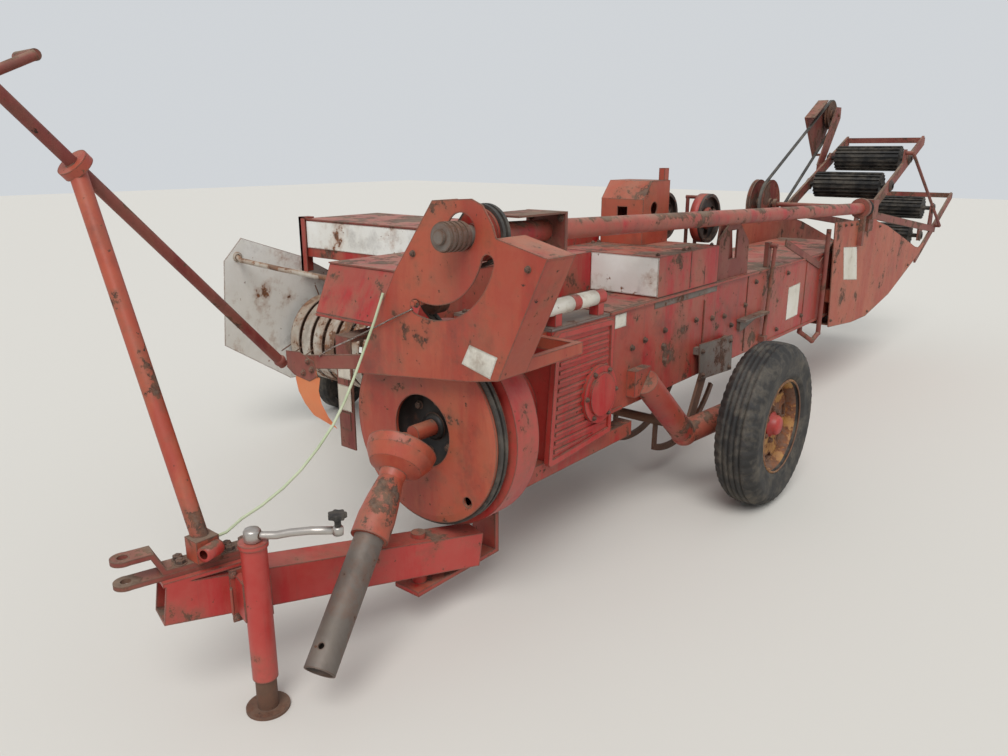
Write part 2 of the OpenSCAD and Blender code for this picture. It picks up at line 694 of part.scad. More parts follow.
module pickup_shield() color(white) at_hitch() {
  outline = [[-1050, 1110], [-1160, 1000], [-1200, 560], [-810, 300], [-400, 262], [-320, 300],
    [-300, 830], [-440, 850], [-680, 980]];
  difference() {
    plate_x(outline, pickup_x0, sheet);
    drum_x(pickup_x0 - 5, pickup_x0 + 20, reel_y, reel_z, 24.5);
  }
  // round shroud on the outside and the gauge wheel's stub axle
  difference() {
    drum_x(pickup_x0 - 40, pickup_x0 + 1, reel_y, reel_z, 230);
    drum_x(pickup_x0 - 45, pickup_x0 + 5, reel_y, reel_z, 222);
  }
  drum_x(pickup_x0 - 140, pickup_x0 + 18, gauge_y, gauge_r, 13.9);
  plate_x([[-560, 330], [gauge_y - 30, gauge_r - 20], [gauge_y + 30, gauge_r - 20], [-440, 330]], pickup_x0, 18);
}

module pickup_reel() color(rust) at_hitch() {
  drum_x(pickup_x0 - 20, pickup_x1 + 20, reel_y, reel_z, 24);
  step = (pickup_x1 - pickup_x0 - 140) / bands;
  for (a = [0, 90, 180, 270]) translate([0, reel_y, reel_z]) rotate([a, 0, 0]) {
    drum_x(pickup_x0 + 40, pickup_x1 - 40, 0, 190, 13, 24);
    for (i = [0:bands]) bar([pickup_x0 + 47 + i * step, 0, 190], [pickup_x0 + 47 + i * step, -40, tine_r - 6], 7);
  }
  for (x = [pickup_x0 + 40, (pickup_x0 + pickup_x1) / 2, pickup_x1 - 46]) drum_x(x, x + 6, reel_y, reel_z, 200);
}

module gauge_wheel() color(black) at_hitch() {
  translate([pickup_x0 - 90, gauge_y, gauge_r]) rotate([0, 90, 0]) rotate_extrude($fn = fine) polygon([
    [14.4, -30], [50, -30], [50, -12], [110, -12], [120, -40], [gauge_r - 14, -45], [gauge_r, -28],
    [gauge_r, 28], [gauge_r - 14, 45], [120, 40], [110, 12], [50, 12], [50, 30], [14.4, 30]]);
}

module thrower_shell() color(red) at_hitch() {
  outline = [[1620, 490], [2082, 447], [2400, 440], [2941, 522], [3700, 742], [3850, 805], [3838, 835], [3680, 800],
    [3560, 816], [3189, 913], [2698, 1037], [2400, 1092], [2350, 1190], [2270, 1190], [2262, 1112], [1540, 1138], [1553, 1003]];
  for (x = [-side_x, side_x - side_t]) plate_x(outline, x, side_t);
  inner = side_x - side_t;
  plate_x([[1650, 500], [2392, 452], [2935, 534], [3300, 640], [3300, 634], [2936, 528], [2392, 446], [1650, 494]], -inner, 2 * inner);
  // spacers between the side plates and the chamber
  for (side = [-1, 1], y = [1640, 2100]) {
    x = side > 0 ? half + 0.3 : -inner;
    block([x, y, 640], [x + inner - half - 0.3, y + 80, 720]);
  }
}

module side_braces() color(dark_red) at_hitch() {
  x = half + 4.3;
  // flat bars under the drive tube
  beam([x, 875, 1072], [x, 1445, 890], 36, 8);
  beam([x, 1440, 884], [x, 1905, 1100], 36, 6);
  beam([x, 1729, 880], [x, 1968, 1078], 30, 7);
  // upright rod with its eyes
  bar([half + 22, 686, 1075], [half + 22, 633, 592], 20);
  block([half + 0.3, 612, 576], [half + 34, 656, 606]);
  block([half - 28, 668, chamber_hi + 0.3], [half - 4, 704, 1090]);
  bar([half - 10, 686, 1072], [half + 34, 686, 1072], 22);
  // bent pipe ahead of the shell
  bar([half + 25, 1500, 1100], [half + 25, 1500, 470], 28);
  bar([half + 25, 1500, 470], [half + 25, 1400, 440], 28);
  bar([half + 25, 1400, 440], [half - 30, 1330, 500], 28);
  bar([half - 30, 1330, 500], [half - 30, 1330, chamber_lo - 0.3], 28);
  for (p = [[1500, 470], [1400, 440]]) translate([half + 25, p[0], p[1]]) sphere(d = 31, $fn = 32);
  translate([half - 30, 1330, 500]) sphere(d = 31, $fn = 32);
  block([half + 0.3, 1488, 800], [half + 14, 1512, 830]);
}

module side_plates() color(grey) at_hitch() {
  // cover over the needle pivot, stood off the chamber
  plate_x([[-150, 705], [200, 690], [215, 512], [-132, 535]], half + 32, 5);
  for (y = [-140, 158]) block([half + 0.3, y, 652], [half + 33, y + 34, 684]);
  // shelf bracket above the wheel
  block([half + 0.3, 320, 730], [half + 46, 628, 742]);
  plate_x([[330, 731], [330, 680], [360, 680], [600, 731]], half + 8, 8);
  block([half + 0.3, 325, 690], [half + 9, 400, 731]);
}

module upper_frame() color(red) at_hitch() {
  outer = side_x - side_t - 16.6;
  for (side = [-1, 1]) {
    x = side > 0 ? outer - 16 : -outer;
    difference() {
      union() {
        beam([x + 8, 2290, 1153], [x + 8, 3490, 1622], 70, 16);
        for (i = [0, 1]) drum_x(x + 1, x + 15, roller_at[i][0], roller_at[i][1], 40);
      }
      for (i = [0, 1]) drum_x(x - 1, x + 17, roller_at[i][0], roller_at[i][1], 16.4);
    }
  }
  beam([1 - outer, 3490, 1622], [outer - 1, 3490, 1622], 40, 40);
  beam([1 - outer, 2300, 1157], [outer - 1, 2300, 1157], 30, 30);
  // pivot bosses on the side plates and the tab that takes the link rod
  for (side = [-1, 1]) {
    x = side > 0 ? outer - 4 : 0.3 + side_t - side_x;
    drum_x(x, x + 20.3, 2310, 1150, 30);
  }
  plate_x([[2980, 1425], [3080, 1464], [3050, 1555], [3000, 1555]], outer - 14, 12);
}

module lower_frame() color(red) at_hitch() {
  outer = side_x - side_t - 0.3;
  for (side = [-1, 1]) {
    x = side > 0 ? outer - 16 : -outer;
    beam([x + 8, 3660, 703], [x + 8, 4680, 1165], 60, 15);
    beam([x + 8, 2372, 1127], [x + 8, 4200, 905], 50, 16);
    // stands that hold the two rollers above the rail
    difference() {
      union() {
        plate_x([[3950, 915], [4070, 900], [4050, 1120], [3970, 1120]], x + 2, 12);
        plate_x([[3640, 975], [3650, 855], [3750, 855], [3770, 960]], x + 2, 12);
      }
      for (p = [roller_at[2], roller_at[3]]) drum_x(x - 1, x + 17, p[0], p[1], 16.4);
    }
  }
  beam([1 - outer, 4680, 1165], [outer - 1, 4680, 1165], 40, 40);
  // link rod to the upper frame
  bar([outer + 30, 3021, 1530], [outer + 30, 4206, 935], 22);
  drum_x(outer - 8, outer + 32, 4206, 935, 14, 32);
  drum_x(outer - 16, outer + 32, 3021, 1530, 14, 32);
}

module roller(i) {
  p = roller_at[i];
  shaft = side_x - side_t - (i < 2 ? 17 : 2);
  drum_x(-roller_l / 2, roller_l / 2, p[0], p[1], roller_r - 12);
  drum_x(-shaft, shaft, p[0], p[1], 16, 32);
  for (k = [0:roller_ribs - 1]) translate([0, p[0], p[1]]) rotate([k * 360 / roller_ribs, 0, 0])
    block([-roller_l / 2, -5, roller_r - 16], [roller_l / 2, 5, roller_r]);
}

module roller_upper_rear() color(black) at_hitch() roller(0);
module roller_upper_front() color(black) at_hitch() roller(1);
module roller_lower_rear() color(black) at_hitch() roller(2);
module roller_lower_front() color(black) at_hitch() roller(3);

// grooved disc across the machine, its hub face at x and the disc to the right
module groove_disc(x, y, z, r) {
  translate([x, y, z]) rotate([0, -90, 0]) rotate_extrude($fn = 72) polygon([
    [0, 0], [40, 0], [40, 12], [r - 25, 12], [r, 6], [r, 12], [r - 13, 20], [r, 28],
    [r, 34], [r - 25, 28], [40, 28], [40, 40], [0, 40]]);
}

module thrower_sheave() color(rust) at_hitch() {
  groove_disc(-side_x - 42, cross_y, cross_z, cross_r);
  drum_x(-side_x - 140, -side_x - 80, cross_y, cross_z, 30);
  groove_disc(-side_x - 126, cross_y, cross_z, cross_r);
  drum_x(-side_x - 42, side_x - 50.7, cross_y, cross_z, 16, 32);
}

module upper_pulley() color(rust) at_hitch() {
  groove_disc(-side_x - 42, upper_y, upper_z, upper_r);
  drum_x(-side_x - 42, -side_x + 6, upper_y, upper_z, 12, 32);
}

module idler_pulley() color(rust) at_hitch() translate([idler.x, 0, idler.y]) rotate([-90, 0, 0])
  rotate_extrude($fn = fine) polygon([[10.4, -1666], [24, -1666], [24, -1661], [idler_r, -1661], [idler_r, -1617],
    [24, -1617], [24, -1610], [10.4, -1610]]);

module angle_gearbox() color(dark_red) at_hitch() {
  block([side_x - 50, cross_y - 55, 1118], [side_x + 40, cross_y + 55, cross_z + 55]);
  block([side_x + 0.3, cross_y - 50, 1040], [side_x + 20, cross_y + 50, 1118]);
  // bearing of the cross shaft on the right side plate
  difference() {
    union() {
      block([-side_x - 24, cross_y - 30, 1000], [-side_x - 0.3, cross_y + 30, cross_z]);
      drum_x(-side_x - 24, -side_x - 0.3, cross_y, cross_z, 36);
    }
    drum_x(-side_x - 30, -side_x + 2, cross_y, cross_z, 16.4);
  }
}

module rear_belt_guard() color(red) at_hitch() {
  inner = -side_x - 12;
  outer = -side_x - 100;
  // plate that carries the pulley, up from the right rail
  difference() {
    plate_x([[2930, 1440], [3060, 1440], [3345, 1790], [3340, 1870], [3250, 1870], [3200, 1810]], inner, 10);
    drum_x(inner - 10, 0, upper_y, upper_z, 12.4);
  }
  block([inner, 2940, 1400], [-side_x + side_t + 16.3, 3020, 1450]);
  // cover on the outside with a folded front
  plate_x([[2828, 1782], [3090, 1916], [3400, 1900], [3420, 1790], [3250, 1590], [3075, 1494]], outer, 6);
  plate_x([[2828, 1782], [3090, 1916], [3094, 1910], [2834, 1777]], outer, 76);
  plate_x([[2828, 1782], [3075, 1494], [3082, 1498], [2836, 1784]], outer, 20);
  block([outer + 3, 3070, 1506], [inner + 1, 3092, 1524]);
}

module knotter_cams() color(rust) at_hitch() {
  drum_x(-230, 230, knot_y, knot_z, 16, 32);
  for (x = [-120, 112]) difference() {
    drum_x(x - 26, x + 26, knot_y, knot_z, 115, 72);
    drum_x(x + 6, x + 27, knot_y, knot_z, 100, 72);
    for (a = [30, 150, 270]) translate([0, knot_y, knot_z]) rotate([a, 0, 0]) drum_x(x - 40, x + 40, 66, 0, 22);
  }
}

module knotter_frame() color(black) at_hitch() {
  for (x = [-225, 215]) difference() {
    plate_x([[90, 960], [310, 960], [250, 1268], [150, 1268]], x, 10);
    drum_x(x - 5, x + 20, knot_y, knot_z, 16.6);
  }
  // bent rail between the two rims
  for (x = [-10, 40]) bar([x, 250, 960.3], [x, 250, 1330], 18);
  bar([-19, 250, 1330], [49, 250, 1330], 17);
}

module knotter_drive_box() color(red) at_hitch() {
  difference() {
    plate_x([[-180, 1130], [60, 1130], [60, 1415], [-110, 1415], [-180, 1335]], -234, 224);
    plate_x([[-174, 1129], [54, 1129], [54, 1409], [-108, 1409], [-174, 1333]], -228, 212);
    drum_y(-120, -190, -170, 1262, 26, 32);
    block([-146, -190, 1262], [-94, -170, 1300]);
    drum_x(-20, 0, -80, 1290, 30, 32);
  }
  block([-44, 10, 1414], [-14, 50, 1470]);
}

module needle_yoke() color(rust) at_hitch() {
  arm = 370;
  low = [yoke_y + arm * cos(-118), yoke_z + arm * sin(-118)];
  root = [yoke_y + needle_r * cos(-111), yoke_z + needle_r * sin(-111)];
  for (x = [-half - 24.3, half + 8.3]) {
    beam([x + 8, yoke_y, yoke_z], [x + 8, low[0], low[1]], 60, 14);
    drum_x(x, x + 16, yoke_y, yoke_z, 44);
  }
  for (x = [-half - 12.3, half + 0.3]) drum_x(x, x + 12, yoke_y, yoke_z, 24, 32);
  bar([-half - 20, low[0], low[1]], [half + 20, low[0], low[1]], 44);
  for (x = [-needle_x, needle_x]) {
    beam([x, low[0], low[1]], [x, root[0], root[1]], 30, 12);
    translate([x, yoke_y, yoke_z]) rotate([90, 0, 90]) rotate([0, 0, -112])
      rotate_extrude(angle = 78, $fn = 96) translate([needle_r, 0]) square([30, 16], center = true);
  }
}

module plunger() color(rust) at_hitch() difference() {
  w = half - chamber_wall - gap;
  union() {
    block([-w, chamber_y0 + 10, chamber_lo + chamber_wall + gap], [w, chamber_y0 + 130, chamber_hi - chamber_wall - gap]);
    // slides on the chamber's side walls
    block([0.5 - w - gap, chamber_y0 + 12, 575], [w + gap - 0.5, chamber_y0 + 120, 615]);
  }
  for (x = [-needle_x, needle_x]) block([x - 26, chamber_y0 + 60, chamber_lo], [x + 26, chamber_y0 + 140, chamber_hi]);
}

tongue_beam();
hitch_clevis();
control_post();
control_rod();
jack_tube();
jack_crank();
jack_leg();
tie_rope();
pto_shaft();
pto_tube();
front_frame();
bale_chamber();
chamber_hood();
slotted_mast();
gearbox_housing();
top_deck();
deck_tube();
belt_guard();
tube_bearings();
feeder_housing();
white_panels();
twine_box();
twine_lid();
front_brackets();
left_axle();
right_axle();
flywheel();
belt_sheave();
drive_tube();
shaft_drum();
drive_belts();
left_tyre();
left_rim();
right_tyre();
right_rim();
pickup_frame();
pickup_shield();
pickup_reel();
gauge_wheel();
thrower_shell();
side_braces();
side_plates();
upper_frame();
lower_frame();
roller_upper_rear();
roller_upper_front();
roller_lower_rear();
roller_lower_front();
thrower_sheave();
upper_pulley();
idler_pulley();
angle_gearbox();
rear_belt_guard();
knotter_cams();
knotter_frame();
knotter_drive_box();
needle_yoke();
plunger();
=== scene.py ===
import math

import bmesh
import bpy
import numpy as np
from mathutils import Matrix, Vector


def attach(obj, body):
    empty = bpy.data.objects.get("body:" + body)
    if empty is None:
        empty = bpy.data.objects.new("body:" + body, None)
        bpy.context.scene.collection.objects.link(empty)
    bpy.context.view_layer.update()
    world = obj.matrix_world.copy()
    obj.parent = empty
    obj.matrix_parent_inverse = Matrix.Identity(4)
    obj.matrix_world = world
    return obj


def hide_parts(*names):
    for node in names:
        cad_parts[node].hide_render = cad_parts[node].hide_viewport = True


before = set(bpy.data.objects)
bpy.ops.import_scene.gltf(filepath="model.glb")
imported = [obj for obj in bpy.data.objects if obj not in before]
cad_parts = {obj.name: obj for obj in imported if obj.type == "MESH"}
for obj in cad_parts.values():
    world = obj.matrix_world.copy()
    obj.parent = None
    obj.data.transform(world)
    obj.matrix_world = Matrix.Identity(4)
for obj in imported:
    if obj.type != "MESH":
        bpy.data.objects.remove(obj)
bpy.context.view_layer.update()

# Places below are in millimetres: x to the machine's left from the middle of the bale chamber,
# y to the rear from the wheel axle, z up from the ground. The hitch pin is the frame's zero.
hitchPin = np.array([-125.0, -2605.0, 480.0])


def spot(x, y, z):
    return tuple((np.array([x, y, z]) - hitchPin) / 1000)


def linear(hexColour):
    # sRGB hex colour turned into linear RGBA
    parts = [int(hexColour[i:i + 2], 16) / 255 for i in (1, 3, 5)]
    return tuple(c / 12.92 if c <= 0.04045 else ((c + 0.055) / 1.055) ** 2.4 for c in parts) + (1.0,)


# camera where the photograph was taken: 1.55 m above the ground at the left front corner
camera = {"place": (1850, -3426, 1550), "turn": 39.5, "down": 15.9, "lens": 28.571}
cameraData = bpy.data.cameras.new("photoCamera")
cameraData.lens = camera["lens"]
cameraData.sensor_width = 36
cameraData.clip_start = 0.05
cameraData.clip_end = 200
cameraObject = bpy.data.objects.new("photoCamera", cameraData)
cameraObject.location = spot(*camera["place"])
cameraObject.rotation_euler = (math.radians(90 - camera["down"]), 0, math.radians(camera["turn"]))
bpy.context.scene.collection.objects.link(cameraObject)
bpy.context.scene.camera = cameraObject
print("camera placed")


def addNode(tree, kind, settings=None, **sockets):
    # a socket gets a constant or a link from another node's output; i0, i1, i6 count the sockets
    node = tree.nodes.new("ShaderNode" + kind)
    for key, value in (settings or {}).items():
        setattr(node, key, value)
    names = [socket.name.replace(" ", "") for socket in node.inputs]
    for key, value in sockets.items():
        socket = node.inputs[int(key[1:]) if key[1:].isdigit() else names.index(key)]
        if isinstance(value, bpy.types.NodeSocket):
            tree.links.new(value, socket)
        else:
            socket.default_value = value
    return node


def newTree(name):
    material = bpy.data.materials.new(name)
    material.use_nodes = True
    tree = material.node_tree
    tree.nodes.clear()
    return material, tree


def ramp(tree, value, low, high):
    # clamped straight line from 0 at low to 1 at high
    return addNode(tree, "MapRange", {"clamp": True}, i0=value, i1=low, i2=high).outputs[0]


def mixColour(tree, amount, below, above):
    return addNode(tree, "Mix", {"data_type": "RGBA"}, i0=amount, i6=below, i7=above).outputs[2]


def maths(tree, operation, a, b):
    return addNode(tree, "Math", {"operation": operation, "use_clamp": True}, i0=a, i1=b).outputs[0]


def noise(tree, place, size, detail, rough):
    # size is the width of one patch of the coarsest noise, in millimetres
    return addNode(tree, "TexNoise", None, Vector=place, Scale=1000 / size, Detail=detail,
                   Roughness=rough).outputs[0]


def placeOf(tree, widths=(1000, 1000, 1000)):
    # object coordinates, counted in patches of the given widths in millimetres
    place = addNode(tree, "TexCoord").outputs["Object"]
    return addNode(tree, "Mapping", None, Vector=place, Scale=[1000 / width for width in widths]).outputs[0]


def edgeMask(tree, reach):
    # 1 where a corner lies within reach, 0 on flat faces
    soft = addNode(tree, "Bevel", {"samples": 4}, Radius=reach).outputs[0]
    sharp = addNode(tree, "NewGeometry").outputs["Normal"]
    same = addNode(tree, "VectorMath", {"operation": "DOT_PRODUCT"}, i0=soft, i1=sharp).outputs["Value"]
    return ramp(tree, same, 0.998, 0.9)


# widths of the patches of old paint, in millimetres
grain = {"clouds": 434.78, "mottle": 38.46, "grit": 5.263, "rainBands": (181.82, 181.82, 909.1),
         "runs": (33.333, 33.333, 416.67), "oil": 270.27, "chips": 217.39, "specks": 29.412, "rust": 26.316,
         "dust": 142.86, "film": 303.03, "dents": 153.85, "edgeWear": 8, "bump": 1.4, "dentDepth": 14}


def weathered(name, paint, faded, fresh=None, rust=0.3, dirt=0.4, gloss=0.42, edge=0.6, dents=0.3, metal=0.0,
              streaks=0.5, rustColours=("#2b1d18", "#6e432f"), dust="#9a8873", bare="#6b574b"):
    # old enamel or steel: faded in clouds and lighter on upward faces, partly sun fading and partly painted
    # light from above; chipped at corners, with rust, streaks and dust on top
    material, tree = newTree(name)
    place = placeOf(tree)
    facing = addNode(tree, "NewGeometry").outputs["Normal"]
    facing = addNode(tree, "SeparateXYZ", None, Vector=facing).outputs[2]
    upward = ramp(tree, facing, 0.25, 0.9)
    clouds = ramp(tree, noise(tree, place, grain["clouds"], 8, 0.66), 0.36, 0.64)
    mottle = ramp(tree, noise(tree, place, grain["mottle"], 7, 0.7), 0.3, 0.75)
    # upward faces take up to 0.8 of the faded colour: partly sun fading, partly painted light on the lit tops
    fadeAndPaintedTopLight = maths(tree, "MAXIMUM", clouds, maths(tree, "MULTIPLY", upward, 0.8))
    colour = mixColour(tree, fadeAndPaintedTopLight, linear(paint), linear(faded))
    colour = mixColour(tree, maths(tree, "MULTIPLY", mottle, 0.3), colour, linear(faded))

    # broad upright bands where rain kept the paint fresh, thin dark runs and oily patches
    bands = ramp(tree, noise(tree, placeOf(tree, grain["rainBands"]), 1000, 7, 0.66), 0.5, 0.6)
    bands = maths(tree, "MULTIPLY", bands, min(1.0, streaks * 1.8))
    colour = mixColour(tree, bands, colour, linear(fresh or paint))
    runs = ramp(tree, noise(tree, placeOf(tree, grain["runs"]), 1000, 6, 0.6), 0.56, 0.74)
    colour = mixColour(tree, maths(tree, "MULTIPLY", runs, streaks * 0.6), colour, linear("#3f3029"))
    oily = ramp(tree, noise(tree, place, grain["oil"], 10, 0.72), 0.55, 0.68)
    oily = maths(tree, "MULTIPLY", oily, 0.25 + 0.5 * dirt)
    colour = mixColour(tree, oily, colour, linear("#3a231d"))

    # wear is coarse noise, raised at corners and on top; where it passes the start, the paint is gone
    wear = noise(tree, place, grain["chips"], 14, 0.72)
    edges = maths(tree, "MULTIPLY", edgeMask(tree, grain["edgeWear"] / 1000), edge)
    wear = maths(tree, "ADD", wear, maths(tree, "MULTIPLY", edges, 0.34))
    wear = maths(tree, "ADD", wear, maths(tree, "MULTIPLY", upward, 0.09 * min(1.0, dirt * 2)))
    start = 0.70 - 0.2 * rust
    speckStart = 0.70 - 0.1 * rust
    specks = ramp(tree, noise(tree, place, grain["specks"], 8, 0.66), speckStart, speckStart + 0.02)
    chips = maths(tree, "MAXIMUM", ramp(tree, wear, start, start + 0.02), specks)
    rustClouds = ramp(tree, noise(tree, place, grain["rust"], 8, 0.7), 0.35, 0.65)
    rusty = mixColour(tree, rustClouds, linear(rustColours[0]), linear(rustColours[1]))
    inner = ramp(tree, wear, start + 0.03, start + 0.075)
    rusty = mixColour(tree, maths(tree, "MULTIPLY", inner, 0.6), rusty, linear(bare))
    halo = ramp(tree, wear, start - 0.08, start + 0.02)
    colour = mixColour(tree, maths(tree, "MULTIPLY", halo, 0.5), colour, linear(rustColours[1]))
    colour = mixColour(tree, chips, colour, rusty)

    # dust lies on what looks up, and a thin film elsewhere
    lying = ramp(tree, noise(tree, place, grain["dust"], 8, 0.68), 0.36, 0.62)
    lying = maths(tree, "MULTIPLY", maths(tree, "MULTIPLY", upward, lying), dirt)
    film = ramp(tree, noise(tree, place, grain["film"], 8, 0.7), 0.42, 0.75)
    dusty = maths(tree, "MAXIMUM", lying, maths(tree, "MULTIPLY", film, dirt * 0.4))
    colour = mixColour(tree, dusty, colour, linear(dust))

    rough = maths(tree, "ADD", maths(tree, "MULTIPLY", chips, 0.4), maths(tree, "MULTIPLY", dusty, 0.35))
    rough = maths(tree, "ADD", rough, maths(tree, "MULTIPLY", mottle, 0.12))
    rough = maths(tree, "ADD", rough, gloss)
    grit = noise(tree, place, grain["grit"], 4, 0.65)
    height = maths(tree, "SUBTRACT", maths(tree, "MULTIPLY", grit, 0.25), maths(tree, "MULTIPLY", chips, 0.4))
    fine = addNode(tree, "Bump", None, Strength=0.4, Distance=grain["bump"] / 1000, Height=height).outputs[0]
    dented = noise(tree, place, grain["dents"], 3, 0.5)
    normal = addNode(tree, "Bump", None, Strength=dents, Distance=grain["dentDepth"] / 1000, Height=dented,
                     Normal=fine).outputs[0]
    shader = addNode(tree, "BsdfPrincipled", None, BaseColor=colour, Roughness=rough, Metallic=metal,
                     Normal=normal)
    tree.links.new(shader.outputs[0], addNode(tree, "OutputMaterial").inputs[0])
    return material


# widths of the patches of aged rubber and of its cracks, in millimetres
rubberGrain = {"clouds": 111.11, "dust": 90.91, "cracks": 3.846, "bump": 1.2}


def rubber(name, base, worn, dust=0.4, gloss=0.62):
    # weathered rubber or fibre: grey clouds, dust in its pores and fine cracks
    material, tree = newTree(name)
    place = placeOf(tree)
    clouds = ramp(tree, noise(tree, place, rubberGrain["clouds"], 7, 0.65), 0.35, 0.7)
    colour = mixColour(tree, clouds, linear(base), linear(worn))
    dusty = ramp(tree, noise(tree, place, rubberGrain["dust"], 9, 0.72), 0.46, 0.7)
    colour = mixColour(tree, maths(tree, "MULTIPLY", dusty, dust), colour, linear("#8d8272"))
    cracks = noise(tree, place, rubberGrain["cracks"], 5, 0.7)
    normal = addNode(tree, "Bump", None, Strength=0.4, Distance=rubberGrain["bump"] / 1000,
                     Height=cracks).outputs[0]
    rough = maths(tree, "ADD", maths(tree, "MULTIPLY", dusty, 0.2), gloss)
    shader = addNode(tree, "BsdfPrincipled", None, BaseColor=colour, Roughness=rough, Normal=normal)
    tree.links.new(shader.outputs[0], addNode(tree, "OutputMaterial").inputs[0])
    return material


# sprayed farm enamel on folded steel sheet: matt red that the sun turned salmon, lighter on upward faces also
# as painted light, with fresher bands
redPaint = weathered("redPaint", "#8f2922", "#a24f3d", "#a01116", rust=0.6, dirt=0.4, dents=0.35, streaks=0.6)
# the same enamel where it faced the sun for years: orange and even
guardPaint = weathered("guardPaint", "#9c3a28", "#a9553a", "#94291f", rust=0.55, dirt=0.35, streaks=0.3)
# enamel on castings and machined parts: thicker, deeper and with some gloss left
brightPaint = weathered("brightPaint", "#a3221f", "#ac453c", "#a81218", rust=0.45, dirt=0.3, gloss=0.36,
                        dents=0.12)
# enamel on frames and brackets that are handled and rubbed: dark, matt and rusty
dullPaint = weathered("dullPaint", "#6f2a24", "#8a4a3d", "#6e1d1b", rust=0.75, dirt=0.45, gloss=0.55)
# enamel of the thrower's side sheets: chalky orange
orangePaint = weathered("orangePaint", "#993f2b", "#ae6045", "#96301f", rust=0.6, gloss=0.5, streaks=0.3)
# white enamel on sheet: clean in the middle, brown where its edges rust
whitePaint = weathered("whitePaint", "#e0dfda", "#d2cec4", rust=0.42, dirt=0.15, gloss=0.4, streaks=0.05,
                       edge=1.2, rustColours=("#4b2b1c", "#8e5730"))
# white enamel rubbed by hay: half of it is bare and brown
wornWhite = weathered("wornWhite", "#b9b2a6", "#8f7f6d", rust=0.85, dirt=0.4, gloss=0.5, streaks=0.3,
                      rustColours=("#43291c", "#83512f"))
# zinc-plated sheet gone dull grey
greySheet = weathered("greySheet", "#746c66", "#5d5149", rust=0.75, dirt=0.4, gloss=0.5, metal=0.2)
# sheet under dust and chaff, paler than its paint
deckSheet = weathered("deckSheet", "#837d78", "#6b6259", rust=0.45, dirt=0.3, gloss=0.5, streaks=0.1)
# bare rolled steel with an even brown rust
rustSteel = weathered("rustSteel", "#6a4632", "#4d3527", rust=0.6, dirt=0.25, gloss=0.66)
# drawn steel tube, oiled and grey-brown
bareTube = weathered("bareTube", "#6b625b", "#57504a", rust=0.42, dirt=0.2, gloss=0.5, metal=0.3)
# black-oxide steel of bolts, bearings and cams
darkIron = weathered("darkIron", "#2a2624", "#3b332e", rust=0.5, dirt=0.25, gloss=0.5)
# yellow enamel of the road wheels' pressed rims, rusted through in large patches
goldRim = weathered("goldRim", "#ad8140", "#8e6238", rust=1.1, dirt=0.25, gloss=0.5, streaks=0.35, edge=0.9,
                    rustColours=("#4f2c1b", "#87502f"))
# chromed steel of the crank and the galvanised wire: bright, with a metal's grey reflections
brightSteel = weathered("brightSteel", "#c4c1bb", "#a8a099", rust=0.15, dirt=0.1, gloss=0.3, metal=0.75,
                        streaks=0.1)
# old grease that drinks the light in gaps and hollows
grease = weathered("grease", "#0e0c0b", "#1b1613", rust=0.2, dirt=0.1, gloss=0.45)
# vinyl film of labels and reflective tape, yellowed, with picked corners
labelWhite = weathered("labelWhite", "#dedbd2", "#c3bba9", rust=0.3, dirt=0.2, edge=0.9, dents=0.1,
                       streaks=0.1)
# orange vinyl of the hanging tag
tagOrange = weathered("tagOrange", "#d0622c", "#c97a4b", rust=0.2, dirt=0.2, dents=0.6, streaks=0.1)
# moulded rubber of the rollers and the boot: deep black
blackRubber = rubber("blackRubber", "#161514", "#232120")
# road-worn tyre: grey-brown and matt
tyreRubber = rubber("tyreRubber", "#1d1c1b", "#35322f", gloss=0.7)
# fabric-faced V belts: dull dark grey
beltRubber = rubber("beltRubber", "#2b2a28", "#4a4640")
# plastic rope, sun-bleached to a pale green
ropeFibre = rubber("ropeFibre", "#a9b592", "#c2c7ab", dust=0.25, gloss=0.8)

coats = [
    (redPaint, ["front_frame", "bale_chamber", "chamber_hood", "feeder_housing", "twine_box",
                "twine_lid", "drive_tube", "left_axle"]),
    (guardPaint, ["belt_guard", "control_post", "belt_sheave", "pto_shaft", "knotter_drive_box"]),
    (brightPaint, ["gearbox_housing", "flywheel", "deck_tube", "tongue_beam", "jack_tube"]),
    (dullPaint, ["hitch_clevis", "control_rod", "slotted_mast", "tube_bearings", "right_axle",
                 "front_brackets", "angle_gearbox", "side_braces", "rear_belt_guard", "upper_frame",
                 "lower_frame", "knotter_frame", "thrower_sheave"]),
    (orangePaint, ["thrower_shell"]),
    (whitePaint, ["white_panels", "pickup_shield"]),
    (wornWhite, ["pickup_frame"]),
    (greySheet, ["side_plates", "shaft_drum"]),
    (deckSheet, ["top_deck"]),
    (brightSteel, ["jack_crank"]),
    (rustSteel, ["jack_leg", "pickup_reel", "upper_pulley", "idler_pulley", "needle_yoke", "plunger"]),
    (bareTube, ["pto_tube"]),
    (darkIron, ["knotter_cams"]),
    (goldRim, ["left_rim", "right_rim"]),
    (blackRubber, ["roller_upper_rear", "roller_upper_front", "roller_lower_rear", "roller_lower_front"]),
    (tyreRubber, ["left_tyre", "right_tyre", "gauge_wheel"]),
    (beltRubber, ["drive_belts"]),
    (ropeFibre, ["tie_rope"]),
]
for material, nodes in coats:
    for node in nodes:
        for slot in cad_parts[node].material_slots:
            slot.material = material
print("materials on", sum(len(nodes) for _, nodes in coats), "CAD nodes")


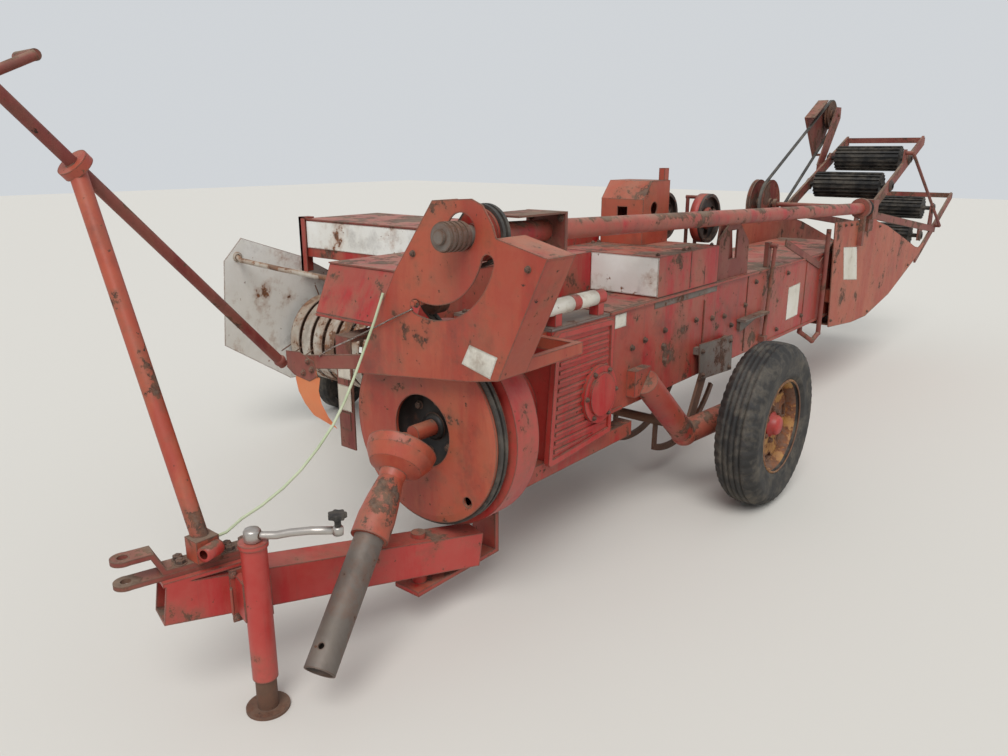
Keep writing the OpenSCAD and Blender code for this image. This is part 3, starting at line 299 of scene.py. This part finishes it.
class Shape:
    # gathers points and faces in machine millimetres, then makes one piece of them

    def __init__(self):
        self.points = np.zeros((0, 3))
        self.faces, self.smooth = [], []

    def add(self, points, faces, smooth=False):
        base = len(self.points)
        self.points = np.vstack([self.points, np.array(points, dtype=float)])
        self.faces += [[base + corner for corner in face] for face in faces]
        self.smooth += [smooth] * len(faces)

    def box(self, low, high):
        corners = np.array([low, high])[np.indices((2, 2, 2)).reshape(3, 8).T, (0, 1, 2)]
        sides = [(0, 1, 3, 2), (4, 6, 7, 5), (0, 4, 5, 1), (2, 3, 7, 6), (0, 2, 6, 4), (1, 5, 7, 3)]
        self.add(corners, sides)

    def plate(self, outline, axis, start, end):
        # outline in the two other axes, in their order, carried from start to end along the axis
        count = len(outline)
        outline = np.array(outline, dtype=float)
        rows = np.vstack([np.insert(outline, axis, level, axis=1) for level in (start, end)])
        walls = [(i, (i + 1) % count, count + (i + 1) % count, count + i) for i in range(count)]
        self.add(rows, [tuple(range(count))[::-1], tuple(range(count, 2 * count))] + walls)

    def lathe(self, profile, centre, along, sides=32, smooth=True, closed=False, skip=None):
        # point (turn, step) = centre + the step's radius turned round the axis + its distance along it;
        # skip(step, side) is true for faces left out
        axis = Vector(along).normalized()
        across = axis.orthogonal().normalized()
        other = axis.cross(across)
        profile = np.array(profile, dtype=float)
        turns = 2 * np.pi * np.arange(sides)[:, None] / sides
        out = np.cos(turns) * np.array(across) + np.sin(turns) * np.array(other)
        points = np.array(centre) + out[:, None] * profile[:, :1] + np.array(axis) * profile[:, 1:]
        count = len(profile)
        k, j = np.indices((sides, count if closed else count - 1))
        nextK, nextJ = (k + 1) % sides, (j + 1) % count
        here, beside = k * count, nextK * count
        faces = np.stack([here + j, beside + j, beside + nextJ, here + nextJ], axis=-1)
        kept = faces[~skip(j, k)] if skip else faces.reshape(-1, 4)
        self.add(points.reshape(-1, 3), kept.tolist(), smooth)

    def disc(self, centre, along, radius, thick, sides=32):
        # low cylinder with a small chamfer on its outer face
        edge = min(1.5, thick / 3)
        self.lathe([(0, 0), (radius, 0), (radius, thick - edge), (radius - edge, thick), (0, thick)],
                   centre, along, sides, smooth=False)

    def bolt(self, place, along, size=19, height=9, washer=True):
        # hexagon head with its washer and the end of the thread
        axis = Vector(along).normalized()
        base = Vector(place)
        if washer:
            self.disc(base, axis, size * 0.72, 2.2, 20)
            base = base + axis * 2.2
        radius = size / math.sqrt(3)
        head = [(0, 0), (radius, 0), (radius, height - 1.5), (radius - 2, height), (0, height)]
        self.lathe(head, base, axis, 6, False)
        self.disc(base + axis * (height - 1), axis, size * 0.3, 4, 12)

    def tube(self, path, radius, sides=8):
        # round section carried along the path, kept from twisting between one point and the next
        points = np.array(path, dtype=float)
        tangents = np.vstack([points[1] - points[0], points[2:] - points[:-2], points[-1] - points[-2]])
        tangents /= np.linalg.norm(tangents, axis=1)[:, None]
        normal = np.array(Vector(points[1] - points[0]).orthogonal())
        normals = []
        for tangent in tangents:
            normal = normal - tangent * normal.dot(tangent)
            normal = normal / np.linalg.norm(normal)
            normals.append(normal)
        normals = np.array(normals)
        others = np.cross(tangents, normals)
        turns = 2 * np.pi * np.arange(sides)[:, None] / sides
        rings = np.cos(turns) * normals[:, None] + np.sin(turns) * others[:, None]
        rings = points[:, None] + rings * radius
        i, k = np.indices((len(points) - 1, sides))
        here, ahead, nextK = i * sides, (i + 1) * sides, (k + 1) % sides
        faces = np.stack([here + k, here + nextK, ahead + nextK, ahead + k], axis=-1)
        last = (len(points) - 1) * sides
        ends = [list(range(sides))[::-1], list(range(last, last + sides))]
        self.add(rings.reshape(-1, 3), faces.reshape(-1, 4).tolist() + ends, True)

    def make(self, name, material, body, bevel=0.0, gauge=0.0):
        # bevel rounds the corners and gauge thickens a sheet, both in millimetres
        mesh = bpy.data.meshes.new(name)
        mesh.from_pydata((self.points - hitchPin) / 1000, [], self.faces)
        mesh.polygons.foreach_set("use_smooth", self.smooth)
        shell = bmesh.new()
        shell.from_mesh(mesh)
        poles = {corner for edge in shell.edges if edge.calc_length() < 1e-7 for corner in edge.verts}
        bmesh.ops.remove_doubles(shell, verts=list(poles), dist=1e-6)
        bmesh.ops.recalc_face_normals(shell, faces=shell.faces)
        shell.to_mesh(mesh)
        shell.free()
        mesh.materials.append(material)
        piece = bpy.data.objects.new(name, mesh)
        bpy.context.scene.collection.objects.link(piece)
        if bevel:
            edge = piece.modifiers.new("edge", "BEVEL")
            edge.width = bevel / 1000
            edge.segments = 2
            edge.limit_method = "ANGLE"
        if gauge:
            thick = piece.modifiers.new("gauge", "SOLIDIFY")
            thick.thickness = gauge / 1000
            thick.offset = 0
        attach(piece, body)
        return piece


left, right, front, rear, up = (1, 0, 0), (-1, 0, 0), (0, -1, 0), (0, 1, 0), (0, 0, 1)
tongueAlong, tongueSide = Vector((0.2545, 0.967, 0)), Vector((0.967, -0.2545, 0))  # the tongue lies askew


def ringOf(count, radius, middle, first=0.0):
    # places evenly round a circle, as two coordinates
    turns = [first + 2 * math.pi * k / count for k in range(count)]
    return [(middle[0] + radius * math.cos(turn), middle[1] + radius * math.sin(turn)) for turn in turns]


# twisted wire out of the guard's slot to the bracket of the control rod
wire = {"path": [(84, -1727, 1079), (60, -1733, 1066), (-10, -1736, 1034), (-110, -1736, 986),
                 (-200, -1735, 944), (-290, -1732, 905), (-360, -1728, 872), (-400, -1724, 848)],
        "diameter": 5}
shape = Shape()
shape.tube(wire["path"], wire["diameter"] / 2, 8)
wirePiece = shape.make("slotWire", brightSteel, "chassis")
print("cords made")

# tyres with five ribs, a stepped shoulder and raised rings on the sidewall
tyres = [
    {"name": "leftTyre", "node": "left_tyre", "body": "left_wheel", "x": 590, "y": -50, "r": 370, "w": 190},
    {"name": "rightTyre", "node": "right_tyre", "body": "right_wheel", "x": -1750, "y": 60, "r": 340,
     "w": 150},
]
tread = {"ribs": 5, "groove": 9, "depth": 9, "crown": 16, "notches": 54, "notchDepth": 7, "bead": 196}
for tyre in tyres:
    r = tyre["r"]
    halfWidth = tyre["w"] / 2
    flat = halfWidth * 0.64
    # the sidewall's radii, with their share of the width on the way to the shoulder
    wall = [(200, -0.30), (212, -0.40), (232, -0.455), (236, -0.468), (244, -0.468), (248, -0.462),
            (r - 92, -0.49), (r - 70, -0.497), (r - 64, -0.5), (r - 58, -0.496), (r - 40, -0.47),
            (r - 26, -0.43)]
    profile = [(radius, share * tyre["w"]) for radius, share in wall]
    edges = np.linspace(-flat, flat, tread["ribs"] + 1)
    for i in range(tread["ribs"]):
        lowEdge, highEdge = edges[i] + tread["groove"] / 2, edges[i + 1] - tread["groove"] / 2
        for across in (lowEdge, (lowEdge + highEdge) / 2, highEdge):
            profile.append((r - tread["crown"] * (across / halfWidth) ** 2, across))
        if i < tread["ribs"] - 1:
            for across in (highEdge + 1.5, highEdge + tread["groove"] - 1.5):
                profile.append((r - tread["depth"] - tread["crown"] * (across / halfWidth) ** 2, across))
    profile += [(radius, -share * tyre["w"]) for radius, share in reversed(wall)]
    profile += [(tread["bead"], 0.28 * tyre["w"]), (tread["bead"], -0.28 * tyre["w"])]
    sides = tread["notches"] * 4
    shape = Shape()
    shape.lathe(profile, (tyre["x"], tyre["y"], r), left, sides, closed=True)
    # notches in both shoulders: two of every four rings are drawn in towards the axle
    radii, across = np.array(profile).T
    drawn = (np.arange(sides) % 4 >= 2)[:, None] & (radii > r - 45) & (abs(across) > flat - 12)
    share = np.where(drawn, 1 - tread["notchDepth"] / radii, 1)[..., None]
    points = shape.points.reshape(sides, len(profile), 3)
    axle = np.array([tyre["y"], r])
    points[..., 1:] = axle + (points[..., 1:] - axle) * share
    piece = shape.make(tyre["name"], tyreRubber, tyre["body"])
    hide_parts(tyre["node"])
print("tyres made")

# pressed rims with hand holes, wheel bolts, hub and cap
rims = [
    {"name": "leftRim", "node": "left_rim", "body": "left_wheel", "place": (590, -50, 370), "out": left,
     "hub": 62},
    {"name": "rightRim", "node": "right_rim", "body": "right_wheel", "place": (-1750, 60, 340), "out": right,
     "hub": 52},
]
# outlines are (radius, distance outwards from the wheel's middle)
pressing = {"holes": 8, "stepsPerHole": 12, "holeSides": 5, "holeSteps": (6, 7), "gauge": 4,
            "bolts": 6, "boltCircle": 76, "boltSize": 21,
            "disc": [(46, 24), (62, 24), (84, 22), (108, 12), (136, 8), (146, 9), (158, 12), (170, 16),
                     (180, 19), (188, 8), (191, -30)],
            "barrel": [(203, 79), (211, 78), (213, 70), (209, 62), (196, 57), (193, 30), (188, 0),
                       (193, -30), (196, -57), (209, -62), (213, -70), (211, -78), (203, -79)],
            "hub": [(21, -80), (44, -80), (44, 20), (58, 27), (58, 32), (46, 36), (44, 56)]}


def inHandHole(step, side):
    return np.isin(step, pressing["holeSteps"]) & (side % pressing["stepsPerHole"] < pressing["holeSides"])


for rim in rims:
    around = pressing["holes"] * pressing["stepsPerHole"]
    sheet = Shape()
    sheet.lathe(pressing["disc"], rim["place"], rim["out"], around, skip=inHandHole)
    sheet.lathe(pressing["barrel"], rim["place"], rim["out"], around)
    piece = sheet.make(rim["name"], goldRim, rim["body"], gauge=pressing["gauge"])
    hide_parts(rim["node"])
    hub = Shape()
    cap = [(40, rim["hub"]), (34, rim["hub"] + 6), (0, rim["hub"] + 9)]
    hub.lathe(pressing["hub"] + cap, rim["place"], rim["out"], 40)
    hub.make(rim["name"] + "Hub", brightPaint, rim["body"])
    bolts = Shape()
    step = 2 * math.pi / pressing["bolts"]
    for dy, dz in ringOf(pressing["bolts"], pressing["boltCircle"], (0, 0), step / 2):
        seat = Vector(rim["place"]) + Vector((0, dy, dz)) + Vector(rim["out"]) * 24.5
        bolts.bolt(seat, rim["out"], pressing["boltSize"], 12)
    bolts.make(rim["name"] + "Bolts", rustSteel, rim["body"])
print("rims made")

# hexagon heads on the sheet metal: the places of their seats and the way they look
throwerTop = [(1620 + 112 * k, 1112 - 4 * k) for k in range(5)]
strapPlaces = [Vector((-125, -2605, 466)) + tongueAlong * ahead - tongueSide * aside
               for ahead in (138, 272, 318) for aside in (-14, 14)]
boltRows = [
    {"name": "guardBolts", "body": "chassis", "along": front, "size": 15,
     "places": [(92, -1726, 1249), (533, -1726, 1241), (100, -1726, 1094)]},
    {"name": "capBolts", "body": "chassis", "along": left, "size": 14,
     "places": [(296, y, z) for y, z in ringOf(6, 98, (-962, 664))]},
    {"name": "chamberBolts", "body": "chassis", "along": left, "size": 19,
     "places": [(260, -591, 801), (260, -692, 787), (260, -424, 814), (260, -433, 746), (260, -417, 681),
                (260, -135, 812), (260, 31, 794), (260, 163, 783), (260, 252, 724), (260, 403, 802),
                (260, 700, 900), (260, 960, 900), (260, 1230, 620), (260, 860, 600), (260, 520, 905)]},
    {"name": "throwerBolts", "body": "chassis", "along": left, "size": 15,
     "places": [(306, y, z) for y, z in throwerTop + [(2310, 1150), (1640, 530), (2420, 470), (2480, 1050),
                                                      (3390, 690), (1590, 900)]]},
    {"name": "throwerRightBolts", "body": "chassis", "along": right, "size": 17,
     "places": [(-306, y, z) for y, z in throwerTop + [(1900, 492), (2420, 470), (2800, 522), (3000, 925),
                                                       (3390, 690)]]},
    {"name": "hoodBolts", "body": "chassis", "along": up, "size": 15,
     "places": [(x, y, 1130) for x in (-235, 235) for y in (-470, -240, -190, 30)]},
    {"name": "bearingBolts", "body": "chassis", "along": front, "size": 17,
     "places": [(250, -1345, 1232), (358, -1345, 1232), (366, -1345, 1345), (246, -1345, 1345)]},
    {"name": "deckBolts", "body": "chassis", "along": up, "size": 17,
     "places": [(x, y, 956) for x in (-170, 30, 120) for y in (-1210, -900)]},
    {"name": "sheaveBolts", "body": "flywheel", "along": front, "size": 22,
     "places": [(x, -1610, z) for x, z in ringOf(6, 92, (50, 656), 0.3)]},
    {"name": "strapBolts", "body": "tongue", "along": up, "size": 24, "places": strapPlaces},
    {"name": "camBolts", "body": "knotter_cams", "along": left, "size": 15,
     "places": [(142, y, z) for y, z in ringOf(6, 40, (200, 1236))]},
    {"name": "plateBolts", "body": "chassis", "along": left, "size": 17,
     "places": [(297, -122, 668), (297, 175, 665), (297, -105, 555), (297, 180, 532)]},
]
for row in boltRows:
    shape = Shape()
    for place in row["places"]:
        shape.bolt(place, row["along"], row["size"], row["size"] * 0.5)
    shape.make(row["name"], darkIron, row["body"])

# bearings of the four rollers, with flange and two bolts, on both sides
bearings = {"places": [(3120, 1490, 283.6), (2710, 1310, 283.6), (4010, 1090, 297.9), (3700, 890, 297.9)],
            "outline": [(17.5, 0), (42, 0), (42, 5), (30, 8), (27, 16), (17.5, 16)], "boltOff": 34}
shape = Shape()
for y, z, x in bearings["places"]:
    for side in (-1, 1):
        along = (side, 0, 0)
        shape.lathe(bearings["outline"], (side * x, y, z), along, 28)
        for off in (-bearings["boltOff"] * 0.7, bearings["boltOff"] * 0.7):
            shape.bolt((side * (x + 5), y + off, z + off), along, 13, 6, False)
shape.make("rollerBearings", darkIron, "chassis")

# rubber boot between the rear bearing of the drive tube and the angle gearbox
boot = {"start": (300, 2046, 1192.8), "end": (300, 2128, 1190.1), "low": 40, "high": 54, "folds": 5}
shape = Shape()
steps = boot["folds"] * 2
reach = Vector(boot["end"]) - Vector(boot["start"])
folds = [(boot["high"] if k % 2 else boot["low"], reach.length * k / steps) for k in range(steps + 1)]
shape.lathe(folds, boot["start"], reach, 36)
shape.make("driveBoot", blackRubber, "chassis")

# blank labels, thin films that lie on their sheets; the axis, the film's two faces and its outline
labels = [
    (0, 306.1, 307.4, [(1740, 974), (2014, 952), (2096, 730), (1812, 764)]),
    (0, 260.1, 261.2, [(995, 627), (1171, 634), (1171, 821), (995, 814)]),
    (0, 260.1, 261.2, [(-826, 886), (-744, 886), (-744, 940), (-826, 940)]),
    (1, -1727.2, -1726.1, [(285, 937), (397, 909), (425, 978), (318, 1000)]),
]
shape = Shape()
for axis, start, end, outline in labels:
    shape.plate(outline, axis, start, end)
shape.make("blankLabels", labelWhite, "chassis")

# orange tag: a bent strip, its middle line as (x, bulge to the front, z), hung on a short wire
tag = {"middle": [(-478, 0, 776), (-486, 6, 728), (-470, 10, 682), (-436, 10, 640), (-392, 6, 604)],
       "half": (66, -12), "y": -1718,
       "wire": [(-420, -1722, 765), (-425, -1724, 780), (-425, -1722, 796)]}
shape = Shape()
corners = [(x + side * tag["half"][0], tag["y"] - bulge * 0.6, z + side * tag["half"][1])
           for x, bulge, z in tag["middle"] for side in (-1, 1)]
shape.add(corners, [(2 * k, 2 * k + 1, 2 * k + 3, 2 * k + 2) for k in range(len(tag["middle"]) - 1)], True)
shape.tube(tag["wire"], 1.6, 6)
shape.make("hangingTag", tagOrange, "chassis")

# seams, turned edges and stiffening bars of the sheet metal, from low corner to high corner
seams = [
    ((-259, -214, 1130), (259, -204, 1131.6)), ((260, -214, 972), (261.6, -204, 1130)),
    ((260, -60, 700), (266, -54, 890)), ((260, -866, 946), (268, 2208, 958)),
    ((260, -866, 548), (268, -760, 562)), ((260, 560, 548), (268, 2208, 562)),
    ((-1829, -697, 1186), (-262, -688, 1192)), ((-762, -1456, 906), (-208, -1450, 918)),
    ((260, 420, 562), (264, 432, 946)), ((260, 1250, 562), (264, 1262, 946)),
]
shape = Shape()
for low, high in seams:
    shape.box(low, high)
shape.make("sheetSeams", redPaint, "chassis", bevel=0.8)

# folded post at the feeder's outer end
post = [((-1852, -706, 900), (-1832, -640, 1200)), ((-1852, -706, 900), (-1800, -700, 1200)),
        ((-1852, -706, 1192), (-1800, -640, 1200))]
shape = Shape()
for low, high in post:
    shape.box(low, high)
shape.make("feederPost", redPaint, "chassis", bevel=1)

# white pipe over the pickup, with a washer on its end
pipe = {"path": [(-1884, -1082, 1015), (-1870, -1082, 1010), (-1850, -1084, 1000), (-1500, -1086, 985),
                 (-1100, -1086, 975), (-800, -1086, 972), (-790, -1084, 962), (-788, -1080, 950)],
        "radius": 13, "washer": [(26, 0), (26, 5), (14, 7)]}
shape = Shape()
shape.tube(pipe["path"], pipe["radius"], 16)
shape.lathe(pipe["washer"], (-1884.6, -1082, 1015), left, 24)
shape.make("windPipe", wornWhite, "pickup")

# two lengths of white tape round the deck tube
tape = {"x": 235, "z": 1022, "tube": 28, "thick": 0.9, "spans": [(-1250, -1100), (-1056, -942)]}
shape = Shape()
inside, outside = tape["tube"] + 0.1, tape["tube"] + tape["thick"]
for start, end in tape["spans"]:
    wide = end - start
    shape.lathe([(inside, 0), (outside, 0.5), (outside, wide - 0.5), (inside, wide)],
                (tape["x"], start, tape["z"]), rear, 40)
shape.make("tubeTape", labelWhite, "chassis")

# cast crank of the jack, and its lobed knob on a stem
crank = {"hub": (72.5, -2341.6, 529.3), "hubOutline": [(0, 0), (22, 0), (24, 4), (24, 30), (20, 36), (0, 38)],
         "arm": [(72.5, -2341.6, 551), (98, -2324, 548), (128, -2303, 550), (160, -2280, 559),
                 (205, -2249, 567), (268, -2205, 571)], "radius": 11,
         "eye": [(0, -12), (14, -12), (15, 8), (12, 12), (0, 12)],
         "stem": [(0, 10), (9, 10), (9, 36), (14, 42), (0, 42)],
         "lobes": 7, "lobeHigh": 2.6, "knobRadius": 23.5, "knobLow": 607, "knobHigh": 622}
shape = Shape()
shape.lathe(crank["hubOutline"], crank["hub"], up, 36)
shape.tube(crank["arm"], crank["radius"], 14)
shape.lathe(crank["eye"], crank["arm"][-1], up, 28)
piece = shape.make("crankArm", brightSteel, "tongue")
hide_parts("jack_crank")
# the knob's radius goes in and out with the cosine of the lobes' turn
turns = np.linspace(0, 2 * np.pi, 84, endpoint=False)
reach = crank["knobRadius"] + crank["lobeHigh"] * np.cos(crank["lobes"] * turns)
knob = np.stack([reach * np.cos(turns), reach * np.sin(turns)], axis=1) + np.array(crank["arm"][-1][:2])
shape = Shape()
shape.lathe(crank["stem"], crank["arm"][-1], up, 24)
shape.plate(knob, 2, crank["knobLow"], crank["knobHigh"])
shape.make("crankKnob", blackRubber, "tongue", bevel=2)

# loop pin that locks the swivel of the jack: an open oval of wire
pin = {"middle": (27, -2394, 352), "wide": 22, "high": 40, "open": 0.2, "radius": 4}
turns = np.linspace(pin["open"], 2 * np.pi - pin["open"], 22)
aside, above = pin["wide"] * np.sin(turns), pin["high"] * np.cos(turns)
oval = np.stack([aside * 0.3, -aside * 0.2, above], axis=1) + np.array(pin["middle"])
shape = Shape()
shape.tube(oval, pin["radius"], 8)
shape.make("loopPin", redPaint, "tongue")

# dark greasy inside of the sheave's hub, with a collar round the shaft
recess = {"centre": (50, -1610, 656), "wall": [(123.4, 50), (123.4, 0.4), (30, 0.4)],
          "collar": [(48, 0.6), (44, 12), (30, 14)]}
shape = Shape()
shape.lathe(recess["wall"], recess["centre"], front, 72)
shape.lathe(recess["collar"], recess["centre"], front, 36)
shape.make("hubRecess", grease, "flywheel")

# red rims, hubs and rivets of the two knotter cams
cams = {"places": (-120, 112), "axle": (200, 1236),
        "rim": [(113, -26.4), (115.4, -26.4), (115.4, 14), (113, 14)],
        "hub": [(17, 6.3), (52, 6.3), (52, 14), (34, 18), (30, 30), (17, 30)],
        "rivets": 9, "rivetCircle": 107, "rivetRadius": 4, "rivetSeat": 26}
shape = Shape()
for x in cams["places"]:
    shape.lathe(cams["rim"], (x, *cams["axle"]), left, 72)
    shape.lathe(cams["hub"], (x, *cams["axle"]), left, 36)
    for y, z in ringOf(cams["rivets"], cams["rivetCircle"], cams["axle"]):
        shape.disc((x + cams["rivetSeat"], y, z), left, cams["rivetRadius"], 3, 12)
shape.make("camRims", redPaint, "knotter_cams")

# reflective tape on the reflector board
shape = Shape()
shape.plate([(-582, 690), (-508, 690), (-508, 744), (-582, 744)], 1, -1501.6, -1500.2)
shape.plate([(-584, 560), (-506, 560), (-506, 664), (-584, 664)], 1, -1505.6, -1504.2)
shape.make("reflectorTape", labelWhite, "chassis")

# bare strip under the hood
shape = Shape()
shape.plate([(-523, 918), (64, 918), (64, 944), (-523, 944)], 0, 260.1, 261.4)
shape.make("bareStrip", greySheet, "chassis")

# dark lines where two sheets of the chamber's side meet
gaps = [
    ((260.1, -217, 968), (260.9, -213, 1124)), ((260.1, -78, 968), (260.9, -74, 1050)),
    ((260.1, -63, 690), (260.9, -60, 896)), ((260.1, 417, 562), (260.9, 420, 944)),
    ((260.1, -500, 960.2), (261, 60, 963)),
]
shape = Shape()
for low, high in gaps:
    shape.box(low, high)
shape.make("sheetGaps", grease, "chassis")

# ball knuckle at the foot of the control rod
knuckle = {"centre": (-543, -1790, 822), "along": (0.12, -0.9, 0.4),
           "outline": [(0, -22), (13, -18), (20, -9), (22, 0), (20, 9), (13, 18), (0, 22)]}
shape = Shape()
shape.lathe(knuckle["outline"], knuckle["centre"], knuckle["along"], 28)
shape.make("rodKnuckle", dullPaint, "tongue")

# bolted shoe of the control rod's bracket
shoe = {"outline": [(-600, 775), (-560, 752), (-470, 742), (-420, 770), (-440, 822), (-520, 846),
                    (-600, 838)],
        "face": -1722.5, "back": -1719.8, "bolts": [(-500, 770), (-450, 790), (-470, 818)]}
shape = Shape()
shape.plate(shoe["outline"], 1, shoe["face"], shoe["back"])
for x, z in shoe["bolts"]:
    shape.bolt((x, shoe["face"], z), front, 17, 8)
shape.make("rodShoe", dullPaint, "chassis", bevel=0.8)

# open pipe socket at the foot of the control post
socket = {"start": (-22, -2388, 503), "along": (0.35, -0.93, 0.06),
          "outline": [(13, 0), (19, 0), (21, 6), (21, 64), (13, 64)]}
shape = Shape()
shape.lathe(socket["outline"], socket["start"], socket["along"], 36)
shape.make("footSocket", brightPaint, "tongue")

# swivel plate of the jack on the tongue's side: places are (ahead, outwards, height) from the jack's axis
swivel = {"axis": Vector((72.5, -2341.6, 0)), "ahead": (-54, 50), "faces": (-73.5, -66.5),
          "height": (262, 424), "boltAhead": (-44, 42), "boltHeight": (276, 412)}


def besideJack(ahead, outwards, height):
    return swivel["axis"] + tongueAlong * ahead + tongueSide * outwards + Vector((0, 0, height))


shape = Shape()
shape.box((0, 0, 0), (1, 1, 1))
ends = np.array([swivel["ahead"], swivel["faces"], swivel["height"]])
corners = ends[:, 0] + shape.points * (ends[:, 1] - ends[:, 0])
shape.points = np.array([besideJack(*corner) for corner in corners])
for ahead in swivel["boltAhead"]:
    for height in swivel["boltHeight"]:
        shape.bolt(besideJack(ahead, swivel["faces"][1], height), tongueSide, 17, 8)
shape.make("swivelPlate", redPaint, "tongue", bevel=1)
print("small pieces made")

# pale floor, overcast sky and a broad weak sun
stage = {"size": 60.0, "floor": "#cfcbc3", "sky": "#e9edf1", "skyStrength": 0.78, "sun": 2.1, "sunWidth": 35,
         "sunTurn": (38, 12, 20)}
half = stage["size"] / 2
ground = spot(0, 0, 0)[2]
floorMesh = bpy.data.meshes.new("floor")
floorCorners = [(x * half, y * half, ground) for x, y in ((-1, -1), (1, -1), (1, 1), (-1, 1))]
floorMesh.from_pydata(floorCorners, [], [(0, 1, 2, 3)])
floorObject = bpy.data.objects.new("floor", floorMesh)
bpy.context.scene.collection.objects.link(floorObject)
floorMaterial, tree = newTree("floorPaint")
shader = addNode(tree, "BsdfPrincipled", None, BaseColor=linear(stage["floor"]), Roughness=0.9)
tree.links.new(shader.outputs[0], addNode(tree, "OutputMaterial").inputs[0])
floorMesh.materials.append(floorMaterial)

world = bpy.data.worlds.new("overcast")
world.use_nodes = True
world.node_tree.nodes.clear()
bpy.context.scene.world = world
sky = addNode(world.node_tree, "Background", None, Color=linear(stage["sky"]), Strength=stage["skyStrength"])
world.node_tree.links.new(sky.outputs[0], addNode(world.node_tree, "OutputWorld").inputs[0])
sun = bpy.data.lights.new("cloudSun", "SUN")
sun.energy = stage["sun"]
sun.angle = math.radians(stage["sunWidth"])
sunObject = bpy.data.objects.new("cloudSun", sun)
sunObject.rotation_euler = [math.radians(turn) for turn in stage["sunTurn"]]
bpy.context.scene.collection.objects.link(sunObject)
bpy.context.scene.view_settings.view_transform = "Standard"
print("stage set")
